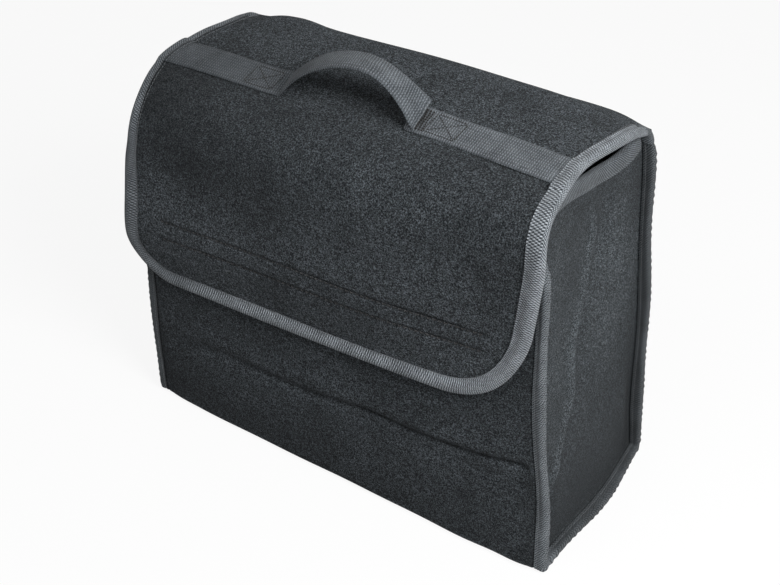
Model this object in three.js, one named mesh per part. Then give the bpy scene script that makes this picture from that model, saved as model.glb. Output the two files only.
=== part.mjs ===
import * as THREE from 'three';

// Driving dimensions of the sewn bag, in millimetres
const WIDTH = 400;              // over the side seams, at the base
const DEPTH = 162;              // front face to back face
const HEIGHT = 316;             // underside to the crease of the lid
const FRONT_DROP = 26;          // the front panel's top edge, below the crease
const GUSSET_RISE = 3;          // a gusset's top edge near the front, above the crease
const GUSSET_DROP = 6;          // the same edge at the back, below the crease
const GUSSET_CORNER = 24;       // length of the rounded front corner of a gusset
const BASE_RADIUS = 6;          // outside radius of the folds along the base
const LEAST_RADIUS = 1.5;       // of the layers inside those folds
const BACK_BEVEL = 1.8;         // the back's top edge slopes away by this under the lid
const SEAM_STAND = 10;          // how far the side seams stand out past a gusset
const GUSSET_BEND = 3.5;        // middle radius where a gusset turns into its seam
const MARGIN_RAMP = 2.2;        // the felt is pressed thin for its seam within this width

// Thicknesses and the gap between pieces that touch
const FELT = 3.6;
const PRESSED_FELT = 2.4;       // each felt layer inside a sewn seam
const TAPE = 0.7;
const WEBBING = 1.6;
const HOOK_TAPE = 1.4;
const CLEAR = 0.3;

// Binding tape
const TAPE_LEG = 12;            // what one folded half covers of the felt
const SEAM_LEG = 6.5;           // the same, on the gusset side of a side seam
const TAPE_NOSE = 0.5;          // how far the fold of the tape is rounded out
const TAPE_START = 9;           // the lid's tape begins this far from the crease
const TAPE_RAMP = 4;            // the tape climbs over the strap within this length

// Lid
const LID_RISE = 19;            // the lid's crown above its crease
const LID_CROWN_Y = -22;        // where the crown lies, measured from the middle
const LID_BEND = 45;            // height of the front bend below the crown
const FRONT_REACH = 60;         // length over which the lid takes up the front's bow
const LID_DROP = 165;           // the lid's lower edge, below the crease
const LID_TILT = 7;             // the right end of that edge is higher by twice this
const LID_CORNER = 66;          // radius of the two lower corners
const LID_GAP = 1;              // lid tape to the binding of the front panel
const LID_DOME = 10;            // the lid's back half bows up in the middle
const LID_DOME_PEAK = 24;       // how far from the crease it is highest
const LID_DOME_END = 110;       // and where it ends
const LID_EDGE = 0.2;           // thickness of the lid's rounded crease at its very end
const CREASE_PULL = [24, 7];    // how far the lid runs on from its crease, back and up
const CROWN_PULL = 52;          // how far the crown runs flat towards the back
const BEND_PULL = [40, 14];     // the same from the crown forwards, and up from the bend

// Carrying strap, sewn across the lid, with its handle loop
const STRAP_WIDTH = 30;
const STRAP_Y = -21;            // middle of the strap on the crown of the lid
const HANDLE_LEFT = -72;        // where the loop leaves the lid
const HANDLE_RIGHT = 57;        // where the loop folds back under itself
const HANDLE_RISE = 32;         // underside of the loop above the lid
const HANDLE_TUCK = 6;          // length of the fold under the loop's right end
const HANDLE_LEAN = 4;          // the loop is highest this far right of its middle
const HANDLE_START = [12, 20];  // how the loop leaves the lid on the left, across and up
const HANDLE_SHOULDERS = [38, 26];
const HANDLE_END = [14, 18];    // how it comes down to the fold on the right

// Hook tape: one strip inside the lid, two on the back
const HOOK_WIDTH = 20;
const HOOK_LENGTH = 320;
const HOOK_ABOVE_EDGE = 47;     // the lid's strip, above its lower edge
const BACK_HOOK_LOW = 70;       // middle of the lower strip on the back
const BACK_HOOK_DROP = 66;      // middle of the upper one, below the crease

// How the soft bag stands: narrower at the top, sagging at its left front corner
const TAPER = 0.055;
const SAG_DROP = 18;
const SAG_LEAN = 7;
const SAG_LENGTH = 86;          // the sag begins this far below the crease
const LEAN_LENGTH = 71;         // and the lean this far
const SAG_REACH = [-60, 50];    // the sag grows between these distances before the middle
const BELLY = 10;               // forward bow of the front between its seams, at the base
const UPPER_BELLY = 3;          // the same, from the lid's lower edge upwards
const BELLY_SKEW = 0.3;         // how much more the right half bows than the left
const LID_BELLY = 8;            // extra bow of the lid's left half
const LID_BELLY_LENGTH = 110;   // from the lid's lower edge up
const CREASE_DEPTH = 1.6;       // pressed fold line across the front panel
const CREASE_WIDTH = 7;
const GUSSET_FOLD = 9;          // how deep a gusset folds inwards
const FOLD_TOP_Y = 16;          // depth at which its crest lies, high up
const FOLD_FOOT_Y = -18;        // and low down
const FOLD_SHIFT = [100, 280];  // the heights between which the crest changes over
const FOLD_FOOT = 60;           // height where the inward fold begins
const FOLD_DEEPEST = 200;
const FOLD_FADE = 220;          // height from which it flattens again, to half its depth

// Heights of the edges
const FRONT_HEIGHT = HEIGHT - FRONT_DROP;
const GUSSET_FRONT = HEIGHT + GUSSET_RISE;
const GUSSET_BACK = HEIGHT - GUSSET_DROP;
const LID_LOWER_EDGE = HEIGHT - LID_DROP;

// Layers of a side seam, each measured inwards from the outer face
const MARGIN_FACE = TAPE + CLEAR;
const MARGIN_BACK = MARGIN_FACE + PRESSED_FELT;
const FLANGE_MIDDLE = FELT + CLEAR + PRESSED_FELT / 2;
const SEAM_MIDDLE = (MARGIN_FACE + FLANGE_MIDDLE + PRESSED_FELT / 2) / 2;
const SEAM_HALF = SEAM_MIDDLE - MARGIN_FACE;
const FELT_EDGE = WIDTH / 2 - TAPE - CLEAR - TAPE_NOSE;
const MARGIN_EDGE = FELT_EDGE - TAPE_LEG - CLEAR;
const GUSSET_X = WIDTH / 2 - SEAM_STAND - FELT / 2;
const HINGE_Y = DEPTH / 2 - FELT / 2;
const PROUD = CLEAR + TAPE;
const LID_DROP_Y = -(DEPTH / 2 + PROUD + LID_GAP + PROUD + FELT / 2);

const { lerp, smoothstep, clamp } = THREE.MathUtils;

const felt = new THREE.MeshStandardMaterial({ color: 0x2d3032, roughness: 0.97, metalness: 0 });
const tape = new THREE.MeshStandardMaterial({ color: 0x5b6165, roughness: 0.75, metalness: 0 });
const webbing = new THREE.MeshStandardMaterial({ color: 0x666b6e, roughness: 0.7, metalness: 0 });
const hookTape = new THREE.MeshStandardMaterial({ color: 0x1d1f20, roughness: 0.85, metalness: 0 });

const organizer = new THREE.Group();

// Evenly spaced numbers from first to last, both included
function steps(first, last, count) {
  return Array.from({ length: count + 1 }, (_, i) => lerp(first, last, i / count));
}

// Moves a point of the freshly sewn bag to where the standing bag carries it
function settle(p) {
  const left = (WIDTH / 2 - p.x) / WIDTH;
  const top = HEIGHT + LID_RISE / 2;
  const drop = smoothstep(p.z, HEIGHT - SAG_LENGTH, top) * smoothstep(-p.y, ...SAG_REACH);
  const lean = smoothstep(p.z, HEIGHT - LEAN_LENGTH, top) * smoothstep(-p.y, 0, DEPTH / 2);
  return new THREE.Vector3(
    p.x * (1 - TAPER * p.z / HEIGHT),
    p.y + SAG_LEAN * left * lean,
    p.z - SAG_DROP * left * drop,
  );
}

// One closed body from its points and triangles, with the faces turned outwards
function body(points, triangles) {
  const volume = triangles.reduce((sum, [a, b, c]) => {
    return sum + points[a].dot(new THREE.Vector3().crossVectors(points[b], points[c]));
  }, 0);
  const index = triangles.flatMap(([a, b, c]) => (volume > 0 ? [a, b, c] : [a, c, b]));
  const geometry = new THREE.BufferGeometry().setFromPoints(points);
  geometry.setIndex(index);
  geometry.computeVertexNormals();
  return geometry;
}

// Two triangles over four corners
function quad(a, b, c, d) {
  return [[a, b, c], [a, c, d]];
}

// A sheet with a face (side 1) and a back (side -1), both on the same grid of rows and columns
function sheet(rows, columns, pointAt) {
  const points = [];
  for (const side of [1, -1]) {
    for (let i = 0; i < rows; i += 1) {
      for (let j = 0; j < columns; j += 1) points.push(settle(pointAt(i, j, side)));
    }
  }
  const at = (side, i, j) => (side > 0 ? 0 : rows * columns) + i * columns + j;
  const triangles = [];
  for (let i = 0; i + 1 < rows; i += 1) {
    for (let j = 0; j + 1 < columns; j += 1) {
      triangles.push(...quad(at(1, i, j), at(1, i, j + 1), at(1, i + 1, j + 1), at(1, i + 1, j)));
      triangles.push(...quad(at(-1, i, j), at(-1, i + 1, j), at(-1, i + 1, j + 1), at(-1, i, j + 1)));
    }
    for (const [j, from, to] of [[0, i, i + 1], [columns - 1, i + 1, i]]) {
      triangles.push(...quad(at(1, from, j), at(1, to, j), at(-1, to, j), at(-1, from, j)));
    }
  }
  for (let j = 0; j + 1 < columns; j += 1) {
    for (const [i, from, to] of [[0, j + 1, j], [rows - 1, j, j + 1]]) {
      triangles.push(...quad(at(1, i, from), at(1, i, to), at(-1, i, to), at(-1, i, from)));
    }
  }
  return body(points, triangles);
}

// A closed outline carried from station to station, with both ends capped
function sweep(outlines, place) {
  const count = outlines[0].length;
  const points = outlines.flatMap((outline, k) => outline.map(([a, b]) => settle(place(k, a, b))));
  const triangles = [];
  for (let k = 0; k + 1 < outlines.length; k += 1) {
    for (let n = 0; n < count; n += 1) {
      const next = (n + 1) % count;
      const here = k * count;
      triangles.push(...quad(here + n, here + next, here + count + next, here + count + n));
    }
  }
  for (const [k, reverse] of [[0, true], [outlines.length - 1, false]]) {
    const outline = outlines[k].map(([a, b]) => new THREE.Vector2(a, b));
    for (const [a, b, c] of THREE.ShapeUtils.triangulateShape(outline, [])) {
      const cap = THREE.ShapeUtils.isClockWise(outline) === reverse ? [a, b, c] : [a, c, b];
      triangles.push(cap.map((n) => k * count + n));
    }
  }
  return body(points, triangles);
}

// Outline of a tape folded over an edge: a runs outwards past the edge, b towards the face
function foldedTape(half, faceLeg, backLeg, lift = 0) {
  const inside = half + CLEAR;
  const outside = inside + TAPE;
  return [
    [-faceLeg, inside + lift], [CLEAR, inside + lift], [CLEAR, -inside], [-backLeg, -inside],
    [-backLeg, -outside], [CLEAR, -outside], [CLEAR + TAPE + TAPE_NOSE, -inside / 2],
    [CLEAR + TAPE + TAPE_NOSE, inside / 2 + lift], [CLEAR, outside + lift], [-faceLeg, outside + lift],
  ];
}

function add(name, geometry, material) {
  const mesh = new THREE.Mesh(geometry, material);
  mesh.name = name;
  organizer.add(mesh);
}

// Heights along the upright parts of the seam, as shares, closer together round the crease
const CREASE_LEVEL = DEPTH / 2;
const legShares = [
  ...steps(1, 0.76, 4), ...steps(0.66, 0.38, 3),
  ...[1, 0.45, 0, -0.45, -1].map((k) => {
    return (CREASE_LEVEL + 2.2 * k * CREASE_WIDTH - BASE_RADIUS) / (FRONT_HEIGHT - BASE_RADIUS);
  }),
  0.1,
];
const arcShares = steps(0, 1, 4);
const baseShares = steps(0, 1, 5).slice(1, -1);

// Stations down the front, round the base and up the back
const seamStations = [
  ...legShares.map((share) => ({ part: 'front', share })),
  ...arcShares.map((share) => ({ part: 'frontFold', share })),
  ...baseShares.map((share) => ({ part: 'base', share })),
  ...arcShares.map((share) => ({ part: 'backFold', share })),
  ...legShares.map((share) => ({ part: 'back', share })).reverse(),
];

// Depth and height of a station on the line that lies inset from the outer face
function seamLine({ part, share }, inset, frontTop, backTop) {
  const radius = Math.max(BASE_RADIUS - inset, LEAST_RADIUS);
  const straight = DEPTH / 2 - inset - radius;
  const floor = inset + radius;
  const angle = share * Math.PI / 2;
  if (part === 'front') return [-straight - radius, lerp(floor, frontTop, share)];
  if (part === 'back') return [straight + radius, lerp(floor, backTop, share)];
  if (part === 'base') return [lerp(-straight, straight, share), inset];
  if (part === 'frontFold') {
    return [-straight - radius * Math.cos(angle), floor - radius * Math.sin(angle)];
  }
  return [straight + radius * Math.sin(angle), floor - radius * Math.cos(angle)];
}

// Forward bow of the front between its seams, with the pressed fold line across it
function frontBow(x, z) {
  const share = clamp(x / MARGIN_EDGE, -1, 1);
  const across = (1 - share ** 2) * (1 + BELLY_SKEW * share);
  const bow = across * lerp(BELLY, UPPER_BELLY, smoothstep(z, 0, LID_LOWER_EDGE - LID_TILT));
  const crease = CREASE_DEPTH * Math.exp(-(((z - CREASE_LEVEL) / CREASE_WIDTH) ** 2));
  return bow - Math.min(1, 3 * across) * crease;
}

// Main panel: one strip of felt, down the front, under the base and up the back
function mainPanel() {
  const inner = MARGIN_EDGE - MARGIN_RAMP;
  const columns = [-FELT_EDGE, -MARGIN_EDGE, ...steps(-inner, inner, 8), MARGIN_EDGE, FELT_EDGE];
  const backTop = HEIGHT - FELT / 2 - CLEAR;
  return sheet(seamStations.length, columns.length, (i, j, side) => {
    const x = columns[j];
    const margin = Math.abs(x) >= MARGIN_EDGE;
    const face = margin ? MARGIN_FACE : 0;
    const back = margin ? MARGIN_BACK : FELT;
    const station = seamStations[i];
    const inset = side > 0 ? face : back;
    const bevel = side > 0 ? BACK_BEVEL : 0;
    const [y, z] = seamLine(station, inset, FRONT_HEIGHT, backTop - bevel);
    const forward = ['front', 'frontFold'].includes(station.part);
    return new THREE.Vector3(x, y - (forward ? frontBow(x, z) : 0), z);
  });
}

// Top edge of a gusset: rises gently to the front, then rounds down to the front seam
const CORNER_END = -(DEPTH / 2 - FLANGE_MIDDLE - PRESSED_FELT / 2);
const CORNER_START = CORNER_END + GUSSET_CORNER;
function gussetTop(y) {
  const crest = lerp(GUSSET_BACK, GUSSET_FRONT, smoothstep(-y, -70, 20));
  const round = clamp((CORNER_START - y) / GUSSET_CORNER, 0, 1);
  return FRONT_HEIGHT + (crest - FRONT_HEIGHT) * Math.sqrt(1 - round ** 2);
}

// How far a gusset folds inwards at this depth and height
function gussetFold(y, z) {
  const crest = lerp(FOLD_FOOT_Y, FOLD_TOP_Y, smoothstep(z, ...FOLD_SHIFT));
  const reach = DEPTH / 2 - SEAM_STAND + (y < crest ? crest : -crest);
  const across = Math.cos(clamp((y - crest) / reach, -1, 1) * Math.PI / 2) ** 2;
  const fade = lerp(1, 0.5, smoothstep(z, FOLD_FADE, GUSSET_FRONT));
  return GUSSET_FOLD * across * smoothstep(z, FOLD_FOOT, FOLD_DEEPEST) * fade;
}

// Section of a gusset from the edge of its seam flange to its flat middle
const GUSSET_RUNS = [2.5, 6, 11, 17, 24];
const bendCentre = { x: GUSSET_X + GUSSET_BEND, inset: FLANGE_MIDDLE + GUSSET_BEND };
const flange = [
  { x: FELT_EDGE, inset: FLANGE_MIDDLE, half: PRESSED_FELT / 2, turn: 0 },
  ...[0, 0.5, 1].map((share) => ({
    x: bendCentre.x - GUSSET_BEND * Math.sin(share * Math.PI / 2),
    inset: bendCentre.inset - GUSSET_BEND * Math.cos(share * Math.PI / 2),
    half: lerp(PRESSED_FELT, FELT, share) / 2,
    turn: share * Math.PI / 2,
  })),
  ...GUSSET_RUNS.map((run) => ({
    x: GUSSET_X, inset: bendCentre.inset + run, half: FELT / 2, turn: Math.PI / 2,
  })),
];

// A point of the right-hand gusset on one ring of its flange
function gussetRing(ring, station, side) {
  const { x, inset, half, turn } = flange[ring];
  const shift = side * half;
  const level = inset + shift * Math.cos(turn);
  const tops = [-1, 1].map((end) => gussetTop(end * (DEPTH / 2 - level)));
  const [y, z] = seamLine(seamStations[station], level, ...tops);
  const fold = ring > 3 ? gussetFold(y, z) : 0;
  return new THREE.Vector3(x + shift * Math.sin(turn) - fold, y, z);
}

// Gusset: a side of felt whose three sewn edges turn outwards into the seams
function gusset(hand) {
  const rings = flange.length;
  const count = seamStations.length;
  const leg = legShares.length + 2;
  const base = count - 2 * leg - 1;
  const points = [];
  const triangles = [];
  const mirrored = (p) => settle(new THREE.Vector3(hand * p.x, p.y, p.z));
  for (const side of [1, -1]) {
    for (let ring = 0; ring < rings; ring += 1) {
      for (let k = 0; k < count; k += 1) points.push(mirrored(gussetRing(ring, k, side)));
    }
  }
  const onRing = (side, ring, k) => (side > 0 ? 0 : rings * count) + ring * count + k;
  const inner = new Map();
  const ends = [0, count - 1].map((k) => gussetRing(rings - 1, k, 1).z);
  const core = (side, i, j) => {
    if (j === 0) return onRing(side, rings - 1, i);
    if (j === base) return onRing(side, rings - 1, count - 1 - i);
    if (i === leg) return onRing(side, rings - 1, leg + j);
    return inner.get(`${side} ${i} ${j}`);
  };
  for (const side of [1, -1]) {
    for (let i = 0; i < leg; i += 1) {
      for (let j = 1; j < base; j += 1) {
        const u = j / base;
        const front = gussetRing(rings - 1, i, side);
        const back = gussetRing(rings - 1, count - 1 - i, side);
        const below = gussetRing(rings - 1, leg + j, side);
        const y = lerp(lerp(front.y, back.y, u), below.y, (i / leg) ** 2);
        const share = (lerp(front.z, back.z, u) - below.z) / (lerp(...ends, u) - below.z);
        const z = lerp(below.z, gussetTop(y), share);
        inner.set(`${side} ${i} ${j}`, points.length);
        const x = GUSSET_X + side * FELT / 2 - gussetFold(y, z);
        points.push(mirrored(new THREE.Vector3(x, y, z)));
      }
    }
  }
  const facing = (side, corners) => (side > 0 ? quad(...corners) : quad(...corners.reverse()));
  for (const side of [1, -1]) {
    for (let ring = 0; ring + 1 < rings; ring += 1) {
      for (let k = 0; k + 1 < count; k += 1) {
        triangles.push(...facing(side, [
          onRing(side, ring, k), onRing(side, ring, k + 1),
          onRing(side, ring + 1, k + 1), onRing(side, ring + 1, k),
        ]));
      }
    }
    for (let i = 0; i < leg; i += 1) {
      for (let j = 0; j < base; j += 1) {
        triangles.push(...facing(side, [
          core(side, i, j), core(side, i + 1, j), core(side, i + 1, j + 1), core(side, i, j + 1),
        ]));
      }
    }
  }
  const border = [
    ...Array.from({ length: count }, (_, k) => [0, k]),
    ...Array.from({ length: rings - 1 }, (_, r) => [r + 1, count - 1]),
  ].map(([ring, k]) => (side) => onRing(side, ring, k));
  for (let j = base - 1; j > 0; j -= 1) border.push((side) => core(side, 0, j));
  for (let ring = rings - 1; ring > 0; ring -= 1) border.push((side) => onRing(side, ring, 0));
  border.forEach((here, n) => {
    const next = border[(n + 1) % border.length];
    triangles.push(...quad(next(1), here(1), here(-1), next(-1)));
  });
  return body(points, triangles);
}

// Tape round a side seam, from the front panel's top edge down, under and up the back
function seamBinding(hand) {
  const outline = foldedTape(SEAM_HALF, TAPE_LEG, SEAM_LEG);
  return sweep(seamStations.map(() => outline), (k, a, b) => {
    const inset = SEAM_MIDDLE - b;
    const [y, z] = seamLine(seamStations[k], inset, FRONT_HEIGHT, GUSSET_BACK);
    return new THREE.Vector3(hand * (FELT_EDGE + a), y, z);
  });
}

// Tape over the top edge of a gusset
function gussetTopBinding(hand) {
  const rings = flange.filter(({ half }) => half === FELT / 2);
  const outer = rings.map(({ inset }) => DEPTH / 2 - inset);
  const middle = steps(-outer.at(-1), outer.at(-1), 9).slice(1, -1);
  const stations = [...outer.map((y) => -y), ...middle, ...outer.reverse()];
  const outline = foldedTape(FELT / 2, TAPE_LEG, TAPE_LEG);
  return sweep(stations.map(() => outline), (k, a, b) => {
    const y = stations[k];
    const slope = new THREE.Vector2(0.4, gussetTop(y + 0.2) - gussetTop(y - 0.2)).normalize();
    const edge = new THREE.Vector2(y - a * slope.y, gussetTop(y) + a * slope.x);
    return new THREE.Vector3(hand * (GUSSET_X + b - gussetFold(edge.x, edge.y)), edge.x, edge.y);
  });
}

// Tape over the top edge of the front panel, between the side seams
function frontTopBinding() {
  const reach = MARGIN_EDGE - MARGIN_RAMP - CLEAR;
  const stations = steps(-reach, reach, 8);
  const outline = foldedTape(FELT / 2, TAPE_LEG, TAPE_LEG);
  return sweep(stations.map(() => outline), (k, a, b) => {
    const z = FRONT_HEIGHT + a;
    const y = -DEPTH / 2 + FELT / 2 - b - frontBow(stations[k], z);
    return new THREE.Vector3(stations[k], y, z);
  });
}

// Side view of the lid's middle layer: crease, crown, front bend, straight drop
const lidProfile = new THREE.Path();
const LID_TOP = HEIGHT + LID_RISE - FELT / 2;
lidProfile.moveTo(HINGE_Y, HEIGHT);
lidProfile.bezierCurveTo(
  HINGE_Y - CREASE_PULL[0], HEIGHT + CREASE_PULL[1], LID_CROWN_Y + CROWN_PULL, LID_TOP,
  LID_CROWN_Y, LID_TOP,
);
lidProfile.bezierCurveTo(
  LID_CROWN_Y - BEND_PULL[0], LID_TOP, LID_DROP_Y, LID_TOP - BEND_PULL[1],
  LID_DROP_Y, LID_TOP - LID_BEND,
);
lidProfile.lineTo(LID_DROP_Y, LID_LOWER_EDGE);
const LID_LENGTH = lidProfile.getLength();
const CREASE_TO_BEND = LID_LENGTH - (LID_TOP - LID_BEND - LID_LOWER_EDGE);

// Middle layer of the lid, x across and s down from the crease
const LAST_SHARE = 0.999999;
function lidMiddle(x, s) {
  const share = clamp(s / LID_LENGTH, 0, LAST_SHARE);
  const on = lidProfile.getPointAt(share);
  on.addScaledVector(lidProfile.getTangentAt(share), s - share * LID_LENGTH);
  const across = 1 - Math.min(1, (x / FELT_EDGE) ** 2);
  const rise = smoothstep(s, 0, LID_DOME_PEAK) - smoothstep(s, LID_DOME_PEAK, LID_DOME_END);
  const dome = LID_DOME * across * rise;
  const low = smoothstep(s, CREASE_TO_BEND - FRONT_REACH, CREASE_TO_BEND);
  const left = 0.5 - x / WIDTH;
  const upward = clamp((LID_LENGTH - s) / LID_BELLY_LENGTH, 0, 1);
  const belly = LID_BELLY * left * Math.sin(Math.PI * upward) ** 2;
  const tilt = -LID_TILT * (x / (WIDTH / 2)) * smoothstep(s, CREASE_TO_BEND, LID_LENGTH);
  const y = on.x - low * frontBow(x, FRONT_HEIGHT) - belly;
  return new THREE.Vector3(x, y, on.y + dome - tilt);
}

// A point above (positive lift) or below the lid's middle layer
function lidPoint(x, s, lift) {
  const along = lidMiddle(x, s + 0.5).sub(lidMiddle(x, s - 0.5));
  const across = lidMiddle(x + 0.5, s).sub(lidMiddle(x - 0.5, s));
  return lidMiddle(x, s).addScaledVector(along.cross(across).normalize(), lift);
}

// Rows of the lid: the bead at the crease, the tape's start, the strap's edges, the corners
const STRAP_S = lidProfile.curves[0].getLength() + (LID_CROWN_Y - STRAP_Y);
const strapRows = [-0.5, 0, 0.5].map((share) => STRAP_S + share * STRAP_WIDTH);
const lidRows = [
  -FELT / 2, -FELT / 4, 0, ...steps(TAPE_START, LID_DOME_PEAK, 3),
  ...steps(LID_DOME_PEAK, strapRows[0] - TAPE_RAMP, 4).slice(1),
  ...strapRows, strapRows[2] + TAPE_RAMP,
  ...steps(strapRows[2] + STRAP_WIDTH / 2, CREASE_TO_BEND, 6),
  ...[0.33, 0.67].map((t) => lerp(CREASE_TO_BEND, LID_LENGTH - LID_CORNER, t)),
  ...steps(0, 1, 7).map((t) => LID_LENGTH - LID_CORNER * (1 - Math.sin(t * Math.PI / 2))),
];
const lidColumns = [-1, -0.94, ...steps(-0.8, 0.8, 8), 0.94, 1];

// Half the width of the lid's felt, less towards its lower corners
function lidHalfWidth(s) {
  const up = clamp(1 - (LID_LENGTH - s) / LID_CORNER, 0, 1);
  return FELT_EDGE - LID_CORNER + LID_CORNER * Math.sqrt(1 - up ** 2);
}

// Lid: a flap of felt from the crease at the back, over the top and down the front
function lidPanel() {
  return sheet(lidRows.length, lidColumns.length, (i, j, side) => {
    const s = lidRows[i];
    const half = Math.sqrt((FELT / 2) ** 2 - Math.min(s, 0) ** 2);
    return lidPoint(lidColumns[j] * lidHalfWidth(s), s, side * Math.max(half, LID_EDGE / 2));
  });
}

// Tape round the three free edges of the lid, carried over the ends of the strap
function lidBinding() {
  const sideRows = lidRows.filter((s) => s >= TAPE_START);
  const run = [
    ...sideRows.map((s) => [-lidHalfWidth(s), s]),
    ...lidColumns.slice(1, -1).map((share) => [share * lidHalfWidth(LID_LENGTH), LID_LENGTH]),
    ...sideRows.map((s) => [lidHalfWidth(s), s]).reverse(),
  ];
  const outlines = run.map(([, s]) => {
    const over = s >= strapRows[0] && s <= strapRows[2] ? WEBBING + CLEAR : 0;
    return foldedTape(FELT / 2, TAPE_LEG, TAPE_LEG, over);
  });
  return sweep(outlines, (k, a, b) => {
    const [x, s] = run[k];
    const [x0, s0] = run[Math.max(k - 1, 0)];
    const [x1, s1] = run[Math.min(k + 1, run.length - 1)];
    const out = new THREE.Vector2(s0 - s1, x1 - x0).normalize();
    return lidPoint(x + a * out.x, s + a * out.y, b);
  });
}

// Route of the strap over the lid, as distance across the lid and height above it
function strapRoute() {
  const flat = WEBBING / 2 + FELT / 2 + CLEAR;
  const end = FELT_EDGE - 1;
  const turn = (WEBBING + CLEAR) / 2;
  const top = flat + 4 * turn;
  const apex = (HANDLE_LEFT + HANDLE_RIGHT) / 2 + HANDLE_LEAN;
  const [leftOut, leftUp] = HANDLE_START;
  const [leftShoulder, rightShoulder] = HANDLE_SHOULDERS;
  const [rightOut, rightUp] = HANDLE_END;
  const loop = new THREE.CurvePath();
  const tall = flat + HANDLE_RISE + WEBBING;
  const v = (x, h) => new THREE.Vector2(x, h);
  loop.add(new THREE.CubicBezierCurve(
    v(HANDLE_LEFT, flat), v(HANDLE_LEFT + leftOut, flat + leftUp),
    v(apex - leftShoulder, tall), v(apex, tall),
  ));
  loop.add(new THREE.CubicBezierCurve(
    v(apex, tall), v(apex + rightShoulder, tall),
    v(HANDLE_RIGHT - rightOut, top + rightUp), v(HANDLE_RIGHT, top),
  ));
  const tuck = (centre, from, to, height) => steps(from, to, 4).map((angle) => {
    return v(centre + turn * Math.cos(angle), height + turn * Math.sin(angle));
  });
  return [
    v(-end, flat), v((HANDLE_LEFT - end) / 2, flat),
    ...loop.getSpacedPoints(26),
    ...tuck(HANDLE_RIGHT, Math.PI / 2, -Math.PI / 2, top - turn).slice(1),
    ...tuck(HANDLE_RIGHT - HANDLE_TUCK, Math.PI / 2, Math.PI * 1.5, flat + turn),
    ...steps(HANDLE_RIGHT, end, 4).slice(1).map((x) => v(x, flat)),
  ];
}

// Carrying strap: one length of webbing with the loop of its handle
function carryStrap() {
  const route = strapRoute();
  return sheet(route.length, strapRows.length, (i, j, side) => {
    const before = route[Math.max(i - 1, 0)];
    const after = route[Math.min(i + 1, route.length - 1)];
    const along = after.clone().sub(before).normalize();
    const face = new THREE.Vector2(-along.y, along.x).multiplyScalar(side * WEBBING / 2);
    face.add(route[i]);
    return lidPoint(face.x, strapRows[j], face.y);
  });
}

// Hook tape sewn to the inside of the lid, which grips the felt of the front panel
function lidHookStrip() {
  const lower = LID_LENGTH - HOOK_ABOVE_EDGE;
  const upper = lower - HOOK_WIDTH;
  const rows = [upper, ...lidRows.filter((s) => s > upper && s < lower), lower];
  const columns = steps(-HOOK_LENGTH / 2, HOOK_LENGTH / 2, 8);
  return sheet(rows.length, columns.length, (i, j, side) => {
    const depth = FELT / 2 + CLEAR + (side > 0 ? 0 : HOOK_TAPE);
    const next = lidRows.findIndex((s) => s >= rows[i]);
    const share = (rows[i] - lidRows[next - 1]) / (lidRows[next] - lidRows[next - 1]);
    const above = lidPoint(columns[j], lidRows[next - 1], -depth);
    return above.lerp(lidPoint(columns[j], lidRows[next], -depth), share);
  });
}

// Hook tape sewn to the back, which grips the carpet of the boot
function backHookStrip(level) {
  const columns = [-HOOK_LENGTH / 2, HOOK_LENGTH / 2];
  return sheet(2, columns.length, (i, j, side) => {
    const y = DEPTH / 2 + CLEAR + (side > 0 ? HOOK_TAPE : 0);
    return new THREE.Vector3(columns[j], y, level + (i - 0.5) * HOOK_WIDTH);
  });
}

add('main_panel', mainPanel(), felt);
add('gusset_left', gusset(-1), felt);
add('gusset_right', gusset(1), felt);
add('gusset_left_top_binding', gussetTopBinding(-1), tape);
add('gusset_right_top_binding', gussetTopBinding(1), tape);
add('front_top_binding', frontTopBinding(), tape);
add('seam_binding_left', seamBinding(-1), tape);
add('seam_binding_right', seamBinding(1), tape);
add('back_hook_strip_lower', backHookStrip(BACK_HOOK_LOW), hookTape);
add('back_hook_strip_upper', backHookStrip(HEIGHT - BACK_HOOK_DROP), hookTape);
add('lid_panel', lidPanel(), felt);
add('lid_binding', lidBinding(), tape);
add('lid_hook_strip', lidHookStrip(), hookTape);
add('carry_strap', carryStrap(), webbing);

export default organizer;
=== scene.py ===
import math

import bmesh
import bpy
import numpy as np
from mathutils import Matrix, Vector


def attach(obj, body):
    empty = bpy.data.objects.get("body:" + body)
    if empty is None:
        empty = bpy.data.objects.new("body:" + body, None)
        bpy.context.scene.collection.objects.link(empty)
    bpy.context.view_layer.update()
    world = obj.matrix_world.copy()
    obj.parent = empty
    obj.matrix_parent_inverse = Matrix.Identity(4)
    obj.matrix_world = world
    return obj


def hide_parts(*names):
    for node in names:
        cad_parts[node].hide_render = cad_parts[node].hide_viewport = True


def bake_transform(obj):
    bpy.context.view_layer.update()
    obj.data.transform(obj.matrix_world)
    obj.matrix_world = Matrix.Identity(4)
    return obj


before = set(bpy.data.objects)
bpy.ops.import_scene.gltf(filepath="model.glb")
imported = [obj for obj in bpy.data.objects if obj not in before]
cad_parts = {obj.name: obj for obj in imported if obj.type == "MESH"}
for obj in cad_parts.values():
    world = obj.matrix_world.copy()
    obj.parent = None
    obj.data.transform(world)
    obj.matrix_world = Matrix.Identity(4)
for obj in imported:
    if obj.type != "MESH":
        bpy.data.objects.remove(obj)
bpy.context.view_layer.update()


# Main panel. One strip of needled polyester felt, 3.6 mm thick, laid down the front, under the base and
# up the back. Its two long edges are pressed thin where the side seams take them. Lengths are in mm.
WIDTH, DEPTH, HEIGHT, FRONT_HEIGHT = 400, 162, 316, 290
FELT, PRESSED_FELT, TAPE, CLEAR = 3.6, 2.4, 0.7, 0.3
BASE_RADIUS, LEAST_RADIUS = 6, 1.5
TAPE_LEG, TAPE_NOSE = 12, 0.5
LID_RISE, LID_LOWER_EDGE, LID_TILT = 19, 151, 7
TAPER, SAG_DROP, SAG_LEAN, SAG_START, SAG_LEAN_START, SAG_REACH = 0.055, 18, 7, 230, 245, (-60, 50)
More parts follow.
